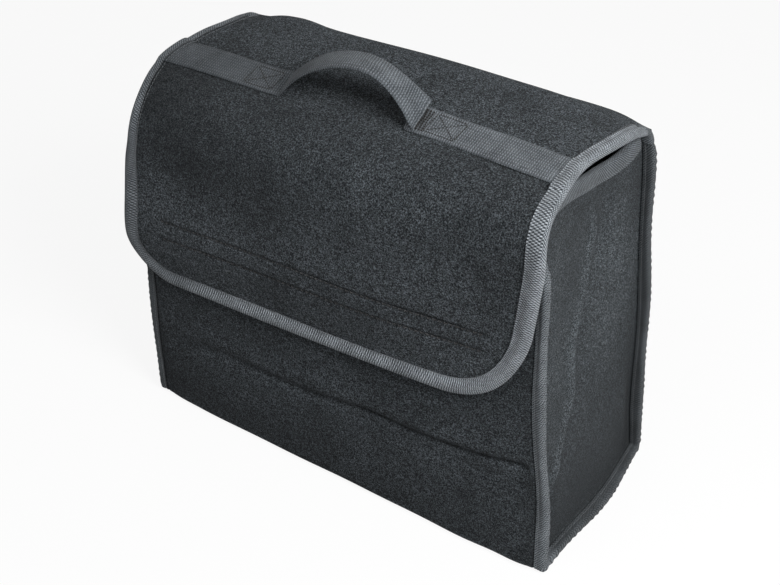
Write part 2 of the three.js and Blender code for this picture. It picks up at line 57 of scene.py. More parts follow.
BELLY, UPPER_BELLY, BELLY_SKEW = 10, 3, 0.3
CREASE_LEVEL, CREASE_DEPTH, CREASE_WIDTH = DEPTH / 2, 1.6, 7
FOLD_LINE, FOLD_RISE = 86, 13 / 190
MARGIN_FACE = TAPE + CLEAR
MARGIN_BACK = MARGIN_FACE + PRESSED_FELT
FELT_EDGE = WIDTH / 2 - TAPE - CLEAR - TAPE_NOSE
MARGIN_EDGE = FELT_EDGE - TAPE_LEG - CLEAR
MARGIN_RAMP, SEAM_FACE_LEG = 2.2, 6.9
# the panel's top edge lies a little over the rounded end of the lid's felt
CREASE_OVERLAP = 0.5

# where the cloth of the standing bag is pulled out of its regular shape: centre, reach and pull
PULLS = [
    ((-185, 62, 318), (34, 46, 40), (0, 0, -7.2)),
    ((-150, 75, 322), (42, 40, 30), (0, 0, 5.2)),
    ((130, 75, 322), (50, 40, 30), (0, 0, 2.2)),
    ((200, 84, 322), (22, 26, 18), (-2.5, -1.2, -5.5)),
    ((-190, -28, 318), (60, 42, 40), (-2, -1, 4)),
    ((-200, -70, 40), (50, 70, 80), (-5.2, -1, 0)),
    ((-176, -84, 0), (14, 20, 20), (0, -0.8, 0)),
    ((8, -86, 0), (42, 25, 45), (0, 1.6, 0)),
    ((-150, -84, 0), (55, 25, 45), (0, -3.5, 0)),
    ((138, -84, 0), (42, 25, 48), (0, -5.2, 0)),
    ((180, -84, 0), (24, 25, 40), (0, -4.8, 0)),
    ((200, -82, 160), (40, 44, 130), (-3.2, 0, 0)),
    ((200, -78, 0), (30, 30, 30), (1.2, -4, 0)),
    ((200, 10, 0), (40, 64, 50), (7.4, 0, 0)),
    ((200, 78, 170), (40, 60, 75), (3.2, 1, 0)),
    ((200, 78, 60), (40, 50, 30), (0.6, 0, 0)),
]


def smoothstep(value, low, high):
    share = np.clip((np.asarray(value, float) - low) / (high - low), 0, 1)
    return share * share * (3 - 2 * share)


def within(value, low, low_full, high_full, high):
    """1 from low_full to high_full, falling softly to 0 at low and at high."""
    return smoothstep(value, low, low_full) * smoothstep(-value, -high, -high_full)


def hump(value, middle, width):
    return np.exp(-(((value - middle) / width) ** 2))


def settle(points):
    """Carries points of the freshly sewn bag to where the soft bag has them as it stands."""
    x, y, z = np.moveaxis(np.asarray(points, float), -1, 0)
    left = (WIDTH / 2 - x) / WIDTH
    top = HEIGHT + LID_RISE / 2
    drop = smoothstep(z, SAG_START, top) * smoothstep(-y, *SAG_REACH)
    lean = smoothstep(z, SAG_LEAN_START, top) * smoothstep(-y, 0, DEPTH / 2)
    free = smoothstep(z, 8, 70)
    fin = smoothstep(np.abs(x), 150, 200)
    flutter = 1.1 * free * fin * np.sin(z / 27 + y / 31 + 1.3 * np.sign(x))
    swell = 0.9 * free * (np.sin(x / 47 + z / 71 + 0.6) + 0.7 * np.sin(x / 29 - z / 43 + 2.1))
    settled = np.stack([
        x * (1 - TAPER * z / HEIGHT) + flutter,
        y + SAG_LEAN * left * lean + swell,
        z - SAG_DROP * left * drop,
    ], -1)
    for centre, reach, pull in PULLS:
        away = (np.stack([x, y, z], -1) - centre) / reach
        settled = settled + np.exp(-(away**2).sum(-1, keepdims=True)) * pull
    return settled


def bag_point(x, y, z):
    """A point of the standing bag, from its place in the freshly sewn one."""
    return settle(np.stack(np.broadcast_arrays(x, y, z), -1))


def seam_line(run, inset, front_top, back_top):
    """Depth and height along the side seams: run goes 0 to 5 down the front, round the base, up the back."""
    run, inset = np.broadcast_arrays(np.asarray(run, float), np.asarray(inset, float))
    radius = np.maximum(BASE_RADIUS - inset, LEAST_RADIUS)
    straight = DEPTH / 2 - inset - radius
    floor = inset + radius
    leg = [run <= 1, run <= 2, run <= 3, run <= 4]
    share = np.clip(np.select(leg, [1 - run, run - 1, run - 2, run - 3], run - 4), 0, 1)
    turn = share * np.pi / 2
    y = np.select(leg, [
        -straight - radius, -straight - radius * np.cos(turn),
        (2 * share - 1) * straight, straight + radius * np.sin(turn),
    ], straight + radius)
    z = np.select(leg, [
        floor + (front_top - floor) * share, floor - radius * np.sin(turn),
        inset, floor - radius * np.cos(turn),
    ], floor + (back_top - floor) * share)
    return y, z


def front_bow(x, z):
    share = np.clip(x / MARGIN_EDGE, -1, 1)
    across = (1 - share**2) * (1 + BELLY_SKEW * share)
    rise = smoothstep(z, 0, LID_LOWER_EDGE - LID_TILT)
    crease = CREASE_DEPTH * hump(z, CREASE_LEVEL, CREASE_WIDTH)
    return across * (BELLY + (UPPER_BELLY - BELLY) * rise) - np.minimum(1, 3 * across) * crease


def above_fold(x, z):
    """Height above the crooked line on which the bag has been folded flat."""
    return z - FOLD_LINE - FOLD_RISE * x - 1.5 * np.sin(x / 23)


def put_in_scene(name, data):
    obj = bpy.data.objects.new(name, data)
    bpy.context.scene.collection.objects.link(obj)
    return obj


def piece_of_mesh(name, points, faces, run=None, rub=None):
    """One closed piece from points in mm; run holds each point's place along and across the cloth, and the
    last argument how much light (above 0) or shade (below 0) is painted into its colour."""
    mesh = bpy.data.meshes.new(name)
    mesh.from_pydata((np.asarray(points) * 0.001).tolist(), [], faces)
    if run is not None:
        place = mesh.attributes.new("run", "FLOAT_VECTOR", "POINT")
        flat = np.zeros((len(mesh.vertices), 3), np.float32)
        flat[:, :2] = np.asarray(run) * 0.001
        place.data.foreach_set("vector", flat.ravel())
    if rub is not None:
        mesh.attributes.new("rub", "FLOAT", "POINT").data.foreach_set("value", np.asarray(rub, np.float32))
    shape = bmesh.new()
    shape.from_mesh(mesh)
    bmesh.ops.recalc_face_normals(shape, faces=shape.faces)
    shape.to_mesh(mesh)
    shape.free()
    mesh.polygons.foreach_set("use_smooth", np.ones(len(mesh.polygons), bool))
    mesh.set_sharp_from_angle(angle=math.radians(62))
    return put_in_scene(name, mesh)


def squares_of(grid):
    return np.stack([grid[:-1, :-1], grid[:-1, 1:], grid[1:, 1:], grid[1:, :-1]], -1).reshape(-1, 4)


def cut_sheet(name, face, back, run=None, rub=None):
    """A closed sheet of cloth from the grid of its face and the grid of its back."""
    rows, columns = face.shape[:2]
    count = rows * columns
    at = np.arange(count).reshape(rows, columns)
    top = squares_of(at)
    edge = np.concatenate([at[0, :-1], at[:-1, -1], at[-1, :0:-1], at[:0:-1, 0]])
    after = np.roll(edge, -1)
    rim = np.stack([after, edge, edge + count, after + count], -1)
    faces = np.concatenate([top, top[:, ::-1] + count, rim]).tolist()
    points = np.concatenate([face.reshape(-1, 3), back.reshape(-1, 3)])
    if run is not None:
        run = np.concatenate([run.reshape(-1, 2)] * 2)
    if rub is not None:
        rub = np.concatenate([rub.ravel(), 0 * rub.ravel()])
    return piece_of_mesh(name, points, faces, run, rub)


class Yarn:
    """A socket in a cloth's node tree, with plain arithmetic on it."""

    def __init__(self, tree, socket=None):
        self.tree, self.socket = tree, socket

    def node(self, kind, output=0, settings=None, **sockets):
        made = self.tree.nodes.new("ShaderNode" + kind)
        for key, value in (settings or {}).items():
            if key == "stops":
                ramp = made.color_ramp.elements
                ramp[0].position, ramp[0].color = value[0]
                ramp[1].position, ramp[1].color = value[-1]
                for position, colour in value[1:-1]:
                    ramp.new(position).color = colour
            else:
                setattr(made, key, value)
        for key, value in sockets.items():
            inlet = made.inputs[int(key[1:]) if key[1:].isdigit() else key.replace("_", " ")]
            if isinstance(value, Yarn):
                self.tree.links.new(value.socket, inlet)
            else:
                inlet.default_value = value
        return Yarn(self.tree, None if output is None else made.outputs[output])

    def maths(self, operation, *values):
        inlets = {f"i{n}": value for n, value in enumerate(values)}
        return self.node("Math", settings={"operation": operation}, **inlets)

    def __add__(self, other):
        return self.maths("ADD", self, other)

    def __sub__(self, other):
        return self.maths("SUBTRACT", self, other)

    def __rsub__(self, other):
        return self.maths("SUBTRACT", other, self)

    def __mul__(self, other):
        return self.maths("MULTIPLY", self, other)

    def __pow__(self, other):
        return self.maths("POWER", self, other)

    __radd__ = __add__
    __rmul__ = __mul__

    def sine(self):
        return self.maths("SINE", self)

    def between(self, low, high):
        return self.node("MapRange", Value=self, From_Min=low, From_Max=high)

    def tint(self, dark, light):
        """Mixes from the dark colour to the light one as this value goes from 0 to 1."""
        colours = {"i6": dark if isinstance(dark, Yarn) else (*dark, 1)}
        colours["i7"] = light if isinstance(light, Yarn) else (*light, 1)
        return self.node("Mix", 2, {"data_type": "RGBA"}, i0=self, **colours)


def finish_of(name, **constants):
    """A new cloth finish: its material, its node tree and its shader, with the even values set."""
    material = bpy.data.materials.new(name)
    material.use_nodes = True
    shader = material.node_tree.nodes["Principled BSDF"]
    for key, value in constants.items():
        shader.inputs[key.replace("_", " ")].default_value = value
    return material, Yarn(material.node_tree), shader


def weave_in(cloth, shader, **looks):
    for key, value in looks.items():
        cloth.tree.links.new(value.socket, shader.inputs[key.replace("_", " ")])


def fibres(place, scale, detail=2, roughness=0.5, distortion=0):
    sockets = dict(Scale=scale, Detail=detail, Roughness=roughness, Distortion=distortion)
    return place.node("TexNoise", Vector=place, **sockets)


def needled_felt(name, dark, light, cloud_size):
    """Charcoal felt: blotches of matted fibre, pale single fibres on top, and a softly clouded nap."""
    material, cloth, shader = finish_of(
        name, Specular_IOR_Level=0.08, Sheen_Weight=0.05, Sheen_Roughness=0.5, Metallic=0
    )
    place = cloth.node("TexCoord", 3)
    mat = fibres(place, 900, 3, 0.75, 0.5)
    clump = fibres(place, 230, 2, 0.6, 0.4)
    hair = fibres(place, 1700, 2, 0.6, 2.2)
    cloud = fibres(place, cloud_size, 3, 0.55)
    pile = (mat * 0.88 + clump * 0.12).between(0.41, 0.61)
    flecks = hair.between(0.60, 0.73)
    grain = pile ** 2.2 * 0.98 + flecks * 0.36
    # painted light and painted shade: each point's stored value lightens or darkens the grain
    rub = cloth.node("Attribute", 2, {"attribute_name": "rub"})
    colour = (grain * (0.2 + 1.6 * cloud) * (1 + rub)).tint(dark, light)
    bump = cloth.node("Bump", Height=pile * 0.8 + hair * 0.4, Distance=0.0013, Strength=0.9)
    weave_in(cloth, shader, Base_Color=colour, Roughness=0.99 - 0.14 * flecks, Normal=bump)
    return material


def dress(obj, material, body, slot, *nodes):
    obj.data.materials.append(material)
    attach(obj, body)
    if nodes:
        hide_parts(*nodes)
    return obj


charcoal_felt = needled_felt("charcoal_felt", (0.0050, 0.0065, 0.0078), (0.142, 0.164, 0.184), 16)
SEAM_STEPS = (91, 8, 45, 8, 91)
seam_runs = [leg + np.linspace(0, 1, steps + 1)[:-1] for leg, steps in enumerate(SEAM_STEPS)]
seam_runs = np.concatenate([*seam_runs, [len(SEAM_STEPS)]])
pressed_from = FELT_EDGE - SEAM_FACE_LEG - CLEAR
inner_edge = pressed_from - MARGIN_RAMP
half_columns = np.concatenate([
    np.linspace(0, inner_edge, 62)[:-1], np.linspace(inner_edge, pressed_from, 4)[:-1],
    np.linspace(pressed_from, FELT_EDGE, 5),
])
columns = np.concatenate([-half_columns[:0:-1], half_columns])


def main_panel_side(face, back, puckers):
    run, x = np.meshgrid(seam_runs, columns, indexing="ij")
    margin = smoothstep(np.abs(x), inner_edge, pressed_from)
    inset = face + (back - face) * margin
    y, z = seam_line(run, inset, FRONT_HEIGHT, HEIGHT - FELT / 2 + CREASE_OVERLAP)
    forward = np.where(run <= 2, 1, np.clip(1 - (run - 2) / 0.2, 0, 1))
    y = y - forward * front_bow(x, z)
    # the felt draws in and swells between the stitches of the side seams
    near = hump(np.abs(x), inner_edge - 5, 5) * (1 - margin)
    pucker = puckers * near * np.sin(z / 2.6 + 1.4 * np.sin(z / 17) + np.sign(x))
    above = above_fold(x, z)
    fold = (0.7 + 0.6 * smoothstep(x, -60, 60)) * (2.1 * hump(above, 0, 2.4) - 1.7 * hump(above, 10, 7))
    dents = 0.8 * np.sin(x / 33 + z / 19) * np.sin(x / 19 - z / 37 + 0.7)
    worn = within(x, -184, -150, 180, 190) * (dents - fold)
    y = y - np.where(run <= 1, pucker + worn, 0) + np.where(run >= 4, pucker, 0)
    return bag_point(x, y, z)


# painted light and shade on the front: a painted highlight above the fold line, painted shade in it, towards
# the foot and beside the side seams
def main_panel_painted_shading():
    run, x = np.meshgrid(seam_runs, columns, indexing="ij")
    z = seam_line(run, 0, FRONT_HEIGHT, HEIGHT)[1]
    above = above_fold(x, z)
    strong = within(x, -184, -120, 182, 192) * (0.5 + 0.5 * smoothstep(x, -40, 70))
    crease = strong * (0.30 * hump(above, -5, 4) - 0.75 * hump(above, 1, 2.6))
    foot = 1 - smoothstep(z, 0, 110)
    margins = 1 - smoothstep(np.abs(np.abs(x) - inner_edge), 0, 16)
    return np.where(run <= 1, crease - 0.36 * foot - 0.25 * margins, 0)


panel_sides = main_panel_side(0, MARGIN_FACE, 0.28), main_panel_side(FELT, MARGIN_BACK, 0.1)
main_panel = cut_sheet("main_panel_felt", *panel_sides, rub=main_panel_painted_shading())
dress(main_panel, charcoal_felt, "bag", "felt", "main_panel")


# Gussets. The two sides of the bag, of the same felt. Three edges of each turn outwards into the side
# seams, the fourth is free at the top. The soft middle sinks inwards, with one crooked ridge down it.
SIDES = (("left", -1), ("right", 1))
GUSSET_FRONT, GUSSET_REAR, GUSSET_BACK, GUSSET_CORNER, SEAM_STAND, GUSSET_BEND = 323, 306, 310, 24, 10, 3.5
FLANGE_MIDDLE = FELT + CLEAR + PRESSED_FELT / 2
GUSSET_X = WIDTH / 2 - SEAM_STAND - FELT / 2
GUSSET_FOLD, FOLD_TOP_Y, FOLD_FOOT_Y, FOLD_SHIFT = 9, 16, -18, (100, 280)
FOLD_FOOT, FOLD_DEEPEST, FOLD_FADE = 60, 200, 220
# the ridge's path: heights, and the depth at each
RIDGE = [(70, 98, 128, 171, 193, 220, 256, 281), (-61, -39, -19, -12, -4, 8, 17, 15)]
CORNER_END = -(DEPTH / 2 - FLANGE_MIDDLE - PRESSED_FELT / 2)
# a lighter copy of the charcoal felt: painted light on the bag's sides
gusset_felt_painted_light = needled_felt("gusset_felt_painted_light", (0.018, 0.0218, 0.0250), (0.168, 0.194, 0.214), 20)


def gusset_top(y):
    crest = GUSSET_REAR + (GUSSET_FRONT - GUSSET_REAR) * smoothstep(-y, -40, 50)
    crest = crest + (GUSSET_BACK - GUSSET_REAR) * smoothstep(y, 50, 74)
    rounding = np.clip((CORNER_END + GUSSET_CORNER - y) / GUSSET_CORNER, 0, 1)
    return FRONT_HEIGHT + (crest - FRONT_HEIGHT) * np.sqrt(1 - rounding**2)


def behind_ridge(y, z):
    return y - np.interp(z, *RIDGE) - 2 * np.sin(z / 17)


def gusset_fold(y, z):
    crest = FOLD_FOOT_Y + (FOLD_TOP_Y - FOLD_FOOT_Y) * smoothstep(z, *FOLD_SHIFT)
    reach = DEPTH / 2 - SEAM_STAND + np.where(y < crest, crest, -crest)
    across = np.cos(np.clip((y - crest) / reach, -1, 1) * np.pi / 2) ** 2
    fade = 1 - 0.5 * smoothstep(z, FOLD_FADE, GUSSET_FRONT)
    depth = GUSSET_FOLD * across * smoothstep(z, FOLD_FOOT, FOLD_DEEPEST) * fade
    # a soft crooked crest with a hollow behind it, a drag line in front of it, and a swell at its foot
    behind = behind_ridge(y, z)
    ridge = 3.2 * hump(behind, 0, 6) - 2.6 * hump(behind, 14, 8)
    drag = 0.9 * hump(y + (z - 215) * 0.1, -34, 6) * within(z, 120, 190, 240, 300)
    swell = 5 * hump(z, 62, 34) * smoothstep(z, 10, 34)
    inside = smoothstep(-np.abs(y), -70, -54)
    quilt = 0.7 * np.sin(y / 11 + z / 37) * np.sin(z / 29 - y / 23) * smoothstep(z, 20, 60)
    quilt = quilt * smoothstep(-np.abs(y), -66, -40)
    return depth + (within(z, 52, 84, 262, 296) * (drag - ridge) - swell) * inside + quilt


# painted light and shade on the gussets: a pale crest and a dark hollow along the ridge, painted shade
# towards the foot and beside the seams, painted shadow under the lid
def gusset_painted_shading(y, z):
    behind = behind_ridge(y, z)
    ridge = 0.75 * hump(behind, -2, 4.5) - 0.52 * hump(behind, 8, 6)
    alive = within(z, 52, 84, 240, 300) * smoothstep(-np.abs(y), -70, -60)
    foot = 1 - smoothstep(z - 0.25 * y, -30, 225)
    seams = 1 - smoothstep(75 - np.abs(y), 0, 24)
    return alive * ridge - 0.80 * foot - 0.36 * seams - 0.34 * smoothstep(z, 225, 290)


def gusset_layer(hand, side):
    """One face of a gusset: its flange rings round three edges, then the grid inside them."""
    bend_x, bend_inset = GUSSET_X + GUSSET_BEND, FLANGE_MIDDLE + GUSSET_BEND
    rings = [(FELT_EDGE - step, FLANGE_MIDDLE, PRESSED_FELT / 2, 0) for step in (0, 1.9, 3.7, 5.3)]
    for share in np.linspace(0, 1, 6):
        turn = share * np.pi / 2
        x, inset = bend_x - GUSSET_BEND * np.sin(turn), bend_inset - GUSSET_BEND * np.cos(turn)
        rings.append((x, inset, (PRESSED_FELT + (FELT - PRESSED_FELT) * share) / 2, turn))
    for step in (1.2, 2.5, 4, 6, 8.5, 11, 14, 17, 20.5, 24):
        rings.append((GUSSET_X, bend_inset + step, FELT / 2, np.pi / 2))
    rows = []
    for x, inset, half, turn in rings:
        shift = side * half
        level = inset + shift * math.cos(turn)
        tops = [gusset_top(end * (DEPTH / 2 - level)) for end in (-1, 1)]
        y, z = seam_line(seam_runs, level, *tops)
        fold = gusset_fold(y, z) if turn > 1.57 and x == GUSSET_X else 0
        rows.append(np.stack([x + shift * math.sin(turn) - fold + 0 * y, y, z], -1))
    rows = np.array(rows)
    leg = SEAM_STEPS[0] + SEAM_STEPS[1] // 2
    base = len(seam_runs) - 1 - 2 * leg
    ring = rows[-1]
    front, back, below = ring[:leg + 1], ring[::-1][:leg + 1], ring[leg:leg + base + 1]
    i, j = np.meshgrid(np.arange(leg + 1), np.arange(base + 1), indexing="ij")
    level = front[i] + (back[i] - front[i]) * (j / base)[..., None]
    y = level[..., 1] + (below[j, 1] - level[..., 1]) * (i / leg) ** 2
    ends = ring[0, 2] + (ring[-1, 2] - ring[0, 2]) * j / base
    z = below[j, 2] + (gusset_top(y) - below[j, 2]) * (level[..., 2] - below[j, 2]) / (ends - below[j, 2])
    core = np.stack([GUSSET_X + side * FELT / 2 - gusset_fold(y, z), y, z], -1)
    core[:, 0], core[:, -1], core[-1] = front, back, below
    for block in (rows, core):
        block[..., 0] *= hand
    return settle(rows), settle(core)


def gusset(name, hand):
    layers = [gusset_layer(hand, side) for side in (1, -1)]
    rings, count = layers[0][0].shape[:2]
    tall, wide = layers[0][1].shape[:2]
    size = rings * count
    points, faces = [], []
    inner = np.full((tall, wide), -1)
    leg, base = tall - 1, wide - 1
    inner[:, 0] = (rings - 1) * count + np.arange(tall)
    inner[:, -1] = (rings - 1) * count + count - 1 - np.arange(tall)
    inner[-1] = (rings - 1) * count + leg + np.arange(wide)
    inner[:-1, 1:-1] = size + np.arange(leg * (base - 1)).reshape(leg, base - 1)
    layer_size = size + leg * (base - 1)
    at = np.arange(size).reshape(rings, count)
    for n, (rows, core) in enumerate(layers):
        points += [rows.reshape(-1, 3), core[:-1, 1:-1].reshape(-1, 3)]
        faces += [squares_of(grid) + n * layer_size for grid in (at, inner)]
    edge = np.concatenate([at[0], at[1:, -1], inner[0, -2:0:-1], at[:0:-1, 0]])
    after = np.roll(edge, -1)
    faces.append(np.stack([after, edge, edge + layer_size, after + layer_size], -1))
    points = np.concatenate(points)
    rub = gusset_painted_shading(points[:, 1], points[:, 2]) * (np.arange(len(points)) < layer_size)
    return piece_of_mesh(name, points, np.concatenate(faces).tolist(), rub=rub)


for side_name, hand in SIDES:
    panel = gusset(f"gusset_{side_name}_felt", hand)
    dress(panel, gusset_felt_painted_light, "bag", "felt", f"gusset_{side_name}")


# Bindings of the bag. Grey twill tape, 25 mm wide before it is folded, closes each gusset's free top
# edge, the front panel's top edge and both side seams. One row of lockstitch holds each tape.
SEAM_LEG = 6.5
SEAM_MIDDLE = (MARGIN_FACE + FLANGE_MIDDLE + PRESSED_FELT / 2) / 2
SEAM_HALF = SEAM_MIDDLE - MARGIN_FACE
# how far in from the covered edge each tape is stitched, on its face and on its back
TOP_STITCHES, SEAM_STITCHES = (9.6, 9.6), (4.4, 4.3)


def axes_of(cloth):
    """Along and across a woven strip, and the place in the bag."""
    run = cloth.node("Attribute", 1, {"attribute_name": "run"})
    return *(cloth.node("SeparateXYZ", n, Vector=run) for n in (0, 1)), cloth.node("TexCoord", 3)


def twill_tape(name, dark, light, painted_light_front_leg=None, left_painted_shade=None):
    """Woven tape: two fine slanted sets of threads that cross; the darkening towards the bag's left is
    painted shade.
    """
    material, cloth, shader = finish_of(
        name, Specular_IOR_Level=0.2, Sheen_Weight=0.08, Sheen_Roughness=0.5, Metallic=0
    )
    along, across, place = axes_of(cloth)
    drift = fibres(place, 160) * 0.0008
    twill = ((along + across + drift) * (math.tau / 0.0023)).sine()
    weft = ((along - across * 1.2 + drift) * (math.tau / 0.0020)).sine()
    fuzz = fibres(place, 1100, 3, 0.7)
    wear = fibres(place, 45, 3, 0.6)
    thread = twill * 0.28 + weft * 0.22 + 0.5
    height = thread + (fuzz - 0.5) * 1.2
    tone = (height + (wear - 0.5) * 0.6).between(0.12, 1.05) ** 1.35
    bump = cloth.node("Bump", Height=height, Distance=0.0008, Strength=1.0)
    side = cloth.node("SeparateXYZ", 0, Vector=place)
    # painted shade: the tone darkens towards the bag's left
    if left_painted_shade:
        tone = tone * (left_painted_shade[0] + (1 - left_painted_shade[0]) * side.between(*left_painted_shade[1:]))
    colour = tone.tint(dark, light)
    if painted_light_front_leg:
        # painted light: the leg beside the right front corner gets the pale yarn, the rest of this tape stays
        # darker
        depth = cloth.node("SeparateXYZ", 1, Vector=place)
        pale = (0 - depth).between(0.064, 0.072) * side.between(0.0, 0.1)
        colour = pale.tint(colour, tone.tint(*painted_light_front_leg))
    weave_in(cloth, shader, Base_Color=colour, Roughness=0.95 - 0.2 * thread, Normal=bump)
    return material


def spun_nylon(name, dark, light, fibre, span, bump, rough, **constants):
    """Thread and hook tape: fibre gives the noise, span the part of it that goes from dark to light."""
    material, cloth, shader = finish_of(name, Metallic=0, **constants)
    ply = fibres(cloth.node("TexCoord", 3), *fibre)
    colour = ply.between(*span).tint(dark, light)
    bump = cloth.node("Bump", Height=ply, Distance=bump[0], Strength=bump[1])
    weave_in(cloth, shader, Base_Color=colour, Roughness=rough[0] + rough[1] * ply, Normal=bump)
    return material


def sewing_thread(name, colour):
    looks = dict(fibre=(2600,), span=(0.3, 0.7), bump=(0.0002, 0.6), rough=(0.6, 0.3))
    shade = tuple(0.55 * part for part in colour)
    return spun_nylon(name, shade, colour, **looks, Specular_IOR_Level=0.3, Sheen_Weight=0.3)


grey_tape = twill_tape("grey_tape", (0.011, 0.0145, 0.018), (0.185, 0.207, 0.229))
# a darker copy of the grey tape for the side seams, painted shade; its last colours paint light on the leg
# beside the right front corner
seam_tape_painted_shade_and_light = twill_tape("seam_tape_painted_shade_and_light", (0.005, 0.0065, 0.008), (0.105, 0.120, 0.132),
                       ((0.013, 0.017, 0.021), (0.235, 0.262, 0.285)))
grey_thread = sewing_thread("grey_thread", (0.10, 0.11, 0.12))
dark_thread = sewing_thread("dark_thread", (0.022, 0.025, 0.028))
black_thread = sewing_thread("black_thread", (0.0030, 0.0034, 0.0038))


def tape_outline(half, face_leg, back_leg, lift=0, face_puff=0.65):
    """Section of a folded tape: a runs outwards past the edge it covers, b towards the face."""
    inside, outside = half + CLEAR, half + CLEAR + TAPE
    tip = CLEAR + TAPE + TAPE_NOSE
    turn = np.linspace(np.pi / 2, -np.pi / 2, 9)
    legs = []
    for leg, hand, extra in ((face_leg, 1, lift), (back_leg, -1, 0)):
        a = np.linspace(-leg, 0, 9)
        puff = (face_puff if hand > 0 else 0.25) * np.sin(np.pi * np.clip((a + leg - 2.6) / (leg - 1), 0, 1))
        dip = 0.22 * hump(a, 2.4 - leg, 0.9)
        legs.append(np.stack([a, hand * (outside + puff - dip) + extra], -1))
    nose = np.stack([CLEAR + (tip - CLEAR) * np.cos(turn), outside * np.sin(turn) + lift * (turn > 0)], -1)
    hollow = np.array([
        [-back_leg, -inside], [-back_leg / 2, -inside], [CLEAR, -inside], [CLEAR, 0],
        [CLEAR, inside + lift], [-face_leg / 2, inside + lift], [-face_leg, inside + lift],
    ])
    return np.concatenate([legs[0], nose, legs[1][::-1], hollow])


def lengths_of(track):
    return np.concatenate([[0], np.cumsum(np.linalg.norm(np.diff(track, axis=0), axis=1))])


def tubes(name, points, run=None):
    """A piece of closed tubes; the axes of points are the tube, its ring, the place on that, and x y z."""
    many, rings, sides = points.shape[:3]
    at = np.arange(many * rings * sides).reshape(many, rings, sides)
    beside = np.roll(at, -1, axis=2)
    walls = np.stack([at[:, :-1], beside[:, :-1], beside[:, 1:], at[:, 1:]], -1).reshape(-1, 4)
    ends = np.concatenate([at[:, 0, ::-1], at[:, -1]])
    return piece_of_mesh(name, points.reshape(-1, 3), walls.tolist() + ends.tolist(), run)


def folded_band(name, outlines, place, lengths):
    """A tape carried along its edge: place turns a station's a and b into points of the bag."""
    points = np.array([place(k, outline[:, 0], outline[:, 1]) for k, outline in enumerate(outlines)])
    width = lengths_of(outlines[0])
    width = width - width.max() * 0.36
    run = np.stack(np.broadcast_arrays(np.asarray(lengths)[:, None], width), -1)
    return tubes(name, points[None], run.reshape(-1, 2))


def lockstitch(name, track, outward, pitch=3.4, length=2.6, thick=0.55, material=grey_thread, body="bag"):
    """A row of single stitches, each a short bowed thread whose two ends dive into the cloth."""
    reach = lengths_of(track)
    starts = np.arange(pitch / 2, reach[-1] - length, pitch)
    share = np.linspace(0, 1, 7)
    at = starts[:, None] + share * length
    centre, normal = (
        np.stack([np.interp(at, reach, part[:, n]) for n in range(3)], -1) for part in (track, outward)
    )
    normal /= np.linalg.norm(normal, axis=-1, keepdims=True)
    along = np.gradient(centre, axis=1)
    along /= np.linalg.norm(along, axis=-1, keepdims=True)
    beside = np.cross(normal, along)
    bow = thick * (0.75 * np.sin(np.pi * share) ** 0.6 - 0.5)
    round_ = thick / 2 * (0.6 + 0.4 * np.sin(np.pi * share))
    turn = np.arange(6) * math.tau / 6
    centre = centre + normal * bow[:, None]
    ring = beside[:, :, None] * np.cos(turn)[:, None] + normal[:, :, None] * np.sin(turn)[:, None]
    stitches = tubes(name, centre[:, :, None] + ring * round_[:, None, None])
    return dress(stitches, material, body, "binding_tape")


def stitch_tape(name, place, stations, half, insets, sunk=0.2, lifts=None, body="bag"):
    """A row of stitches on each leg of a folded tape; lifts raise the stations of the face's row."""
    for suffix, hand, inset in (("", 1, insets[0]), ("_inside", -1, insets[1])):
        b = hand * (half + CLEAR + TAPE - sunk)
        lifted = lifts if lifts is not None and hand > 0 else np.zeros(stations)
        spots = np.array([
            place(k, np.full(2, -inset), np.array([b, b + hand]) + lifted[k]) for k in range(stations)
        ])
        lockstitch(f"{name}_stitches{suffix}", spots[:, 0], spots[:, 1] - spots[:, 0], body=body)


def bind_gusset_top(side_name, hand):
    rim = DEPTH / 2 - FLANGE_MIDDLE - GUSSET_BEND
    corner = -rim + GUSSET_CORNER * (1 - np.cos(np.linspace(0, np.pi / 2, 16)))
    y0 = np.concatenate([corner[:-1], np.linspace(corner[-1], rim, 46)])
    slope = np.stack([np.full_like(y0, 0.4), gusset_top(y0 + 0.2) - gusset_top(y0 - 0.2)], -1)
    slope /= np.linalg.norm(slope, axis=1, keepdims=True)
    track = np.stack([0 * y0, y0, gusset_top(y0)], -1)
    outline = tape_outline(FELT / 2, TAPE_LEG, TAPE_LEG)

    def place(k, a, b):
        y = y0[k] - a * slope[k, 1]
        z = gusset_top(y0[k]) + a * slope[k, 0]
        return bag_point(hand * (GUSSET_X + b - gusset_fold(y, z)), y, z)

    band = folded_band(f"gusset_{side_name}_top_tape", [outline] * len(y0), place, lengths_of(track))
    dress(band, grey_tape, "bag", "binding_tape", f"gusset_{side_name}_top_binding")
    stitch_tape(f"gusset_{side_name}_top", place, len(y0), FELT / 2, TOP_STITCHES)


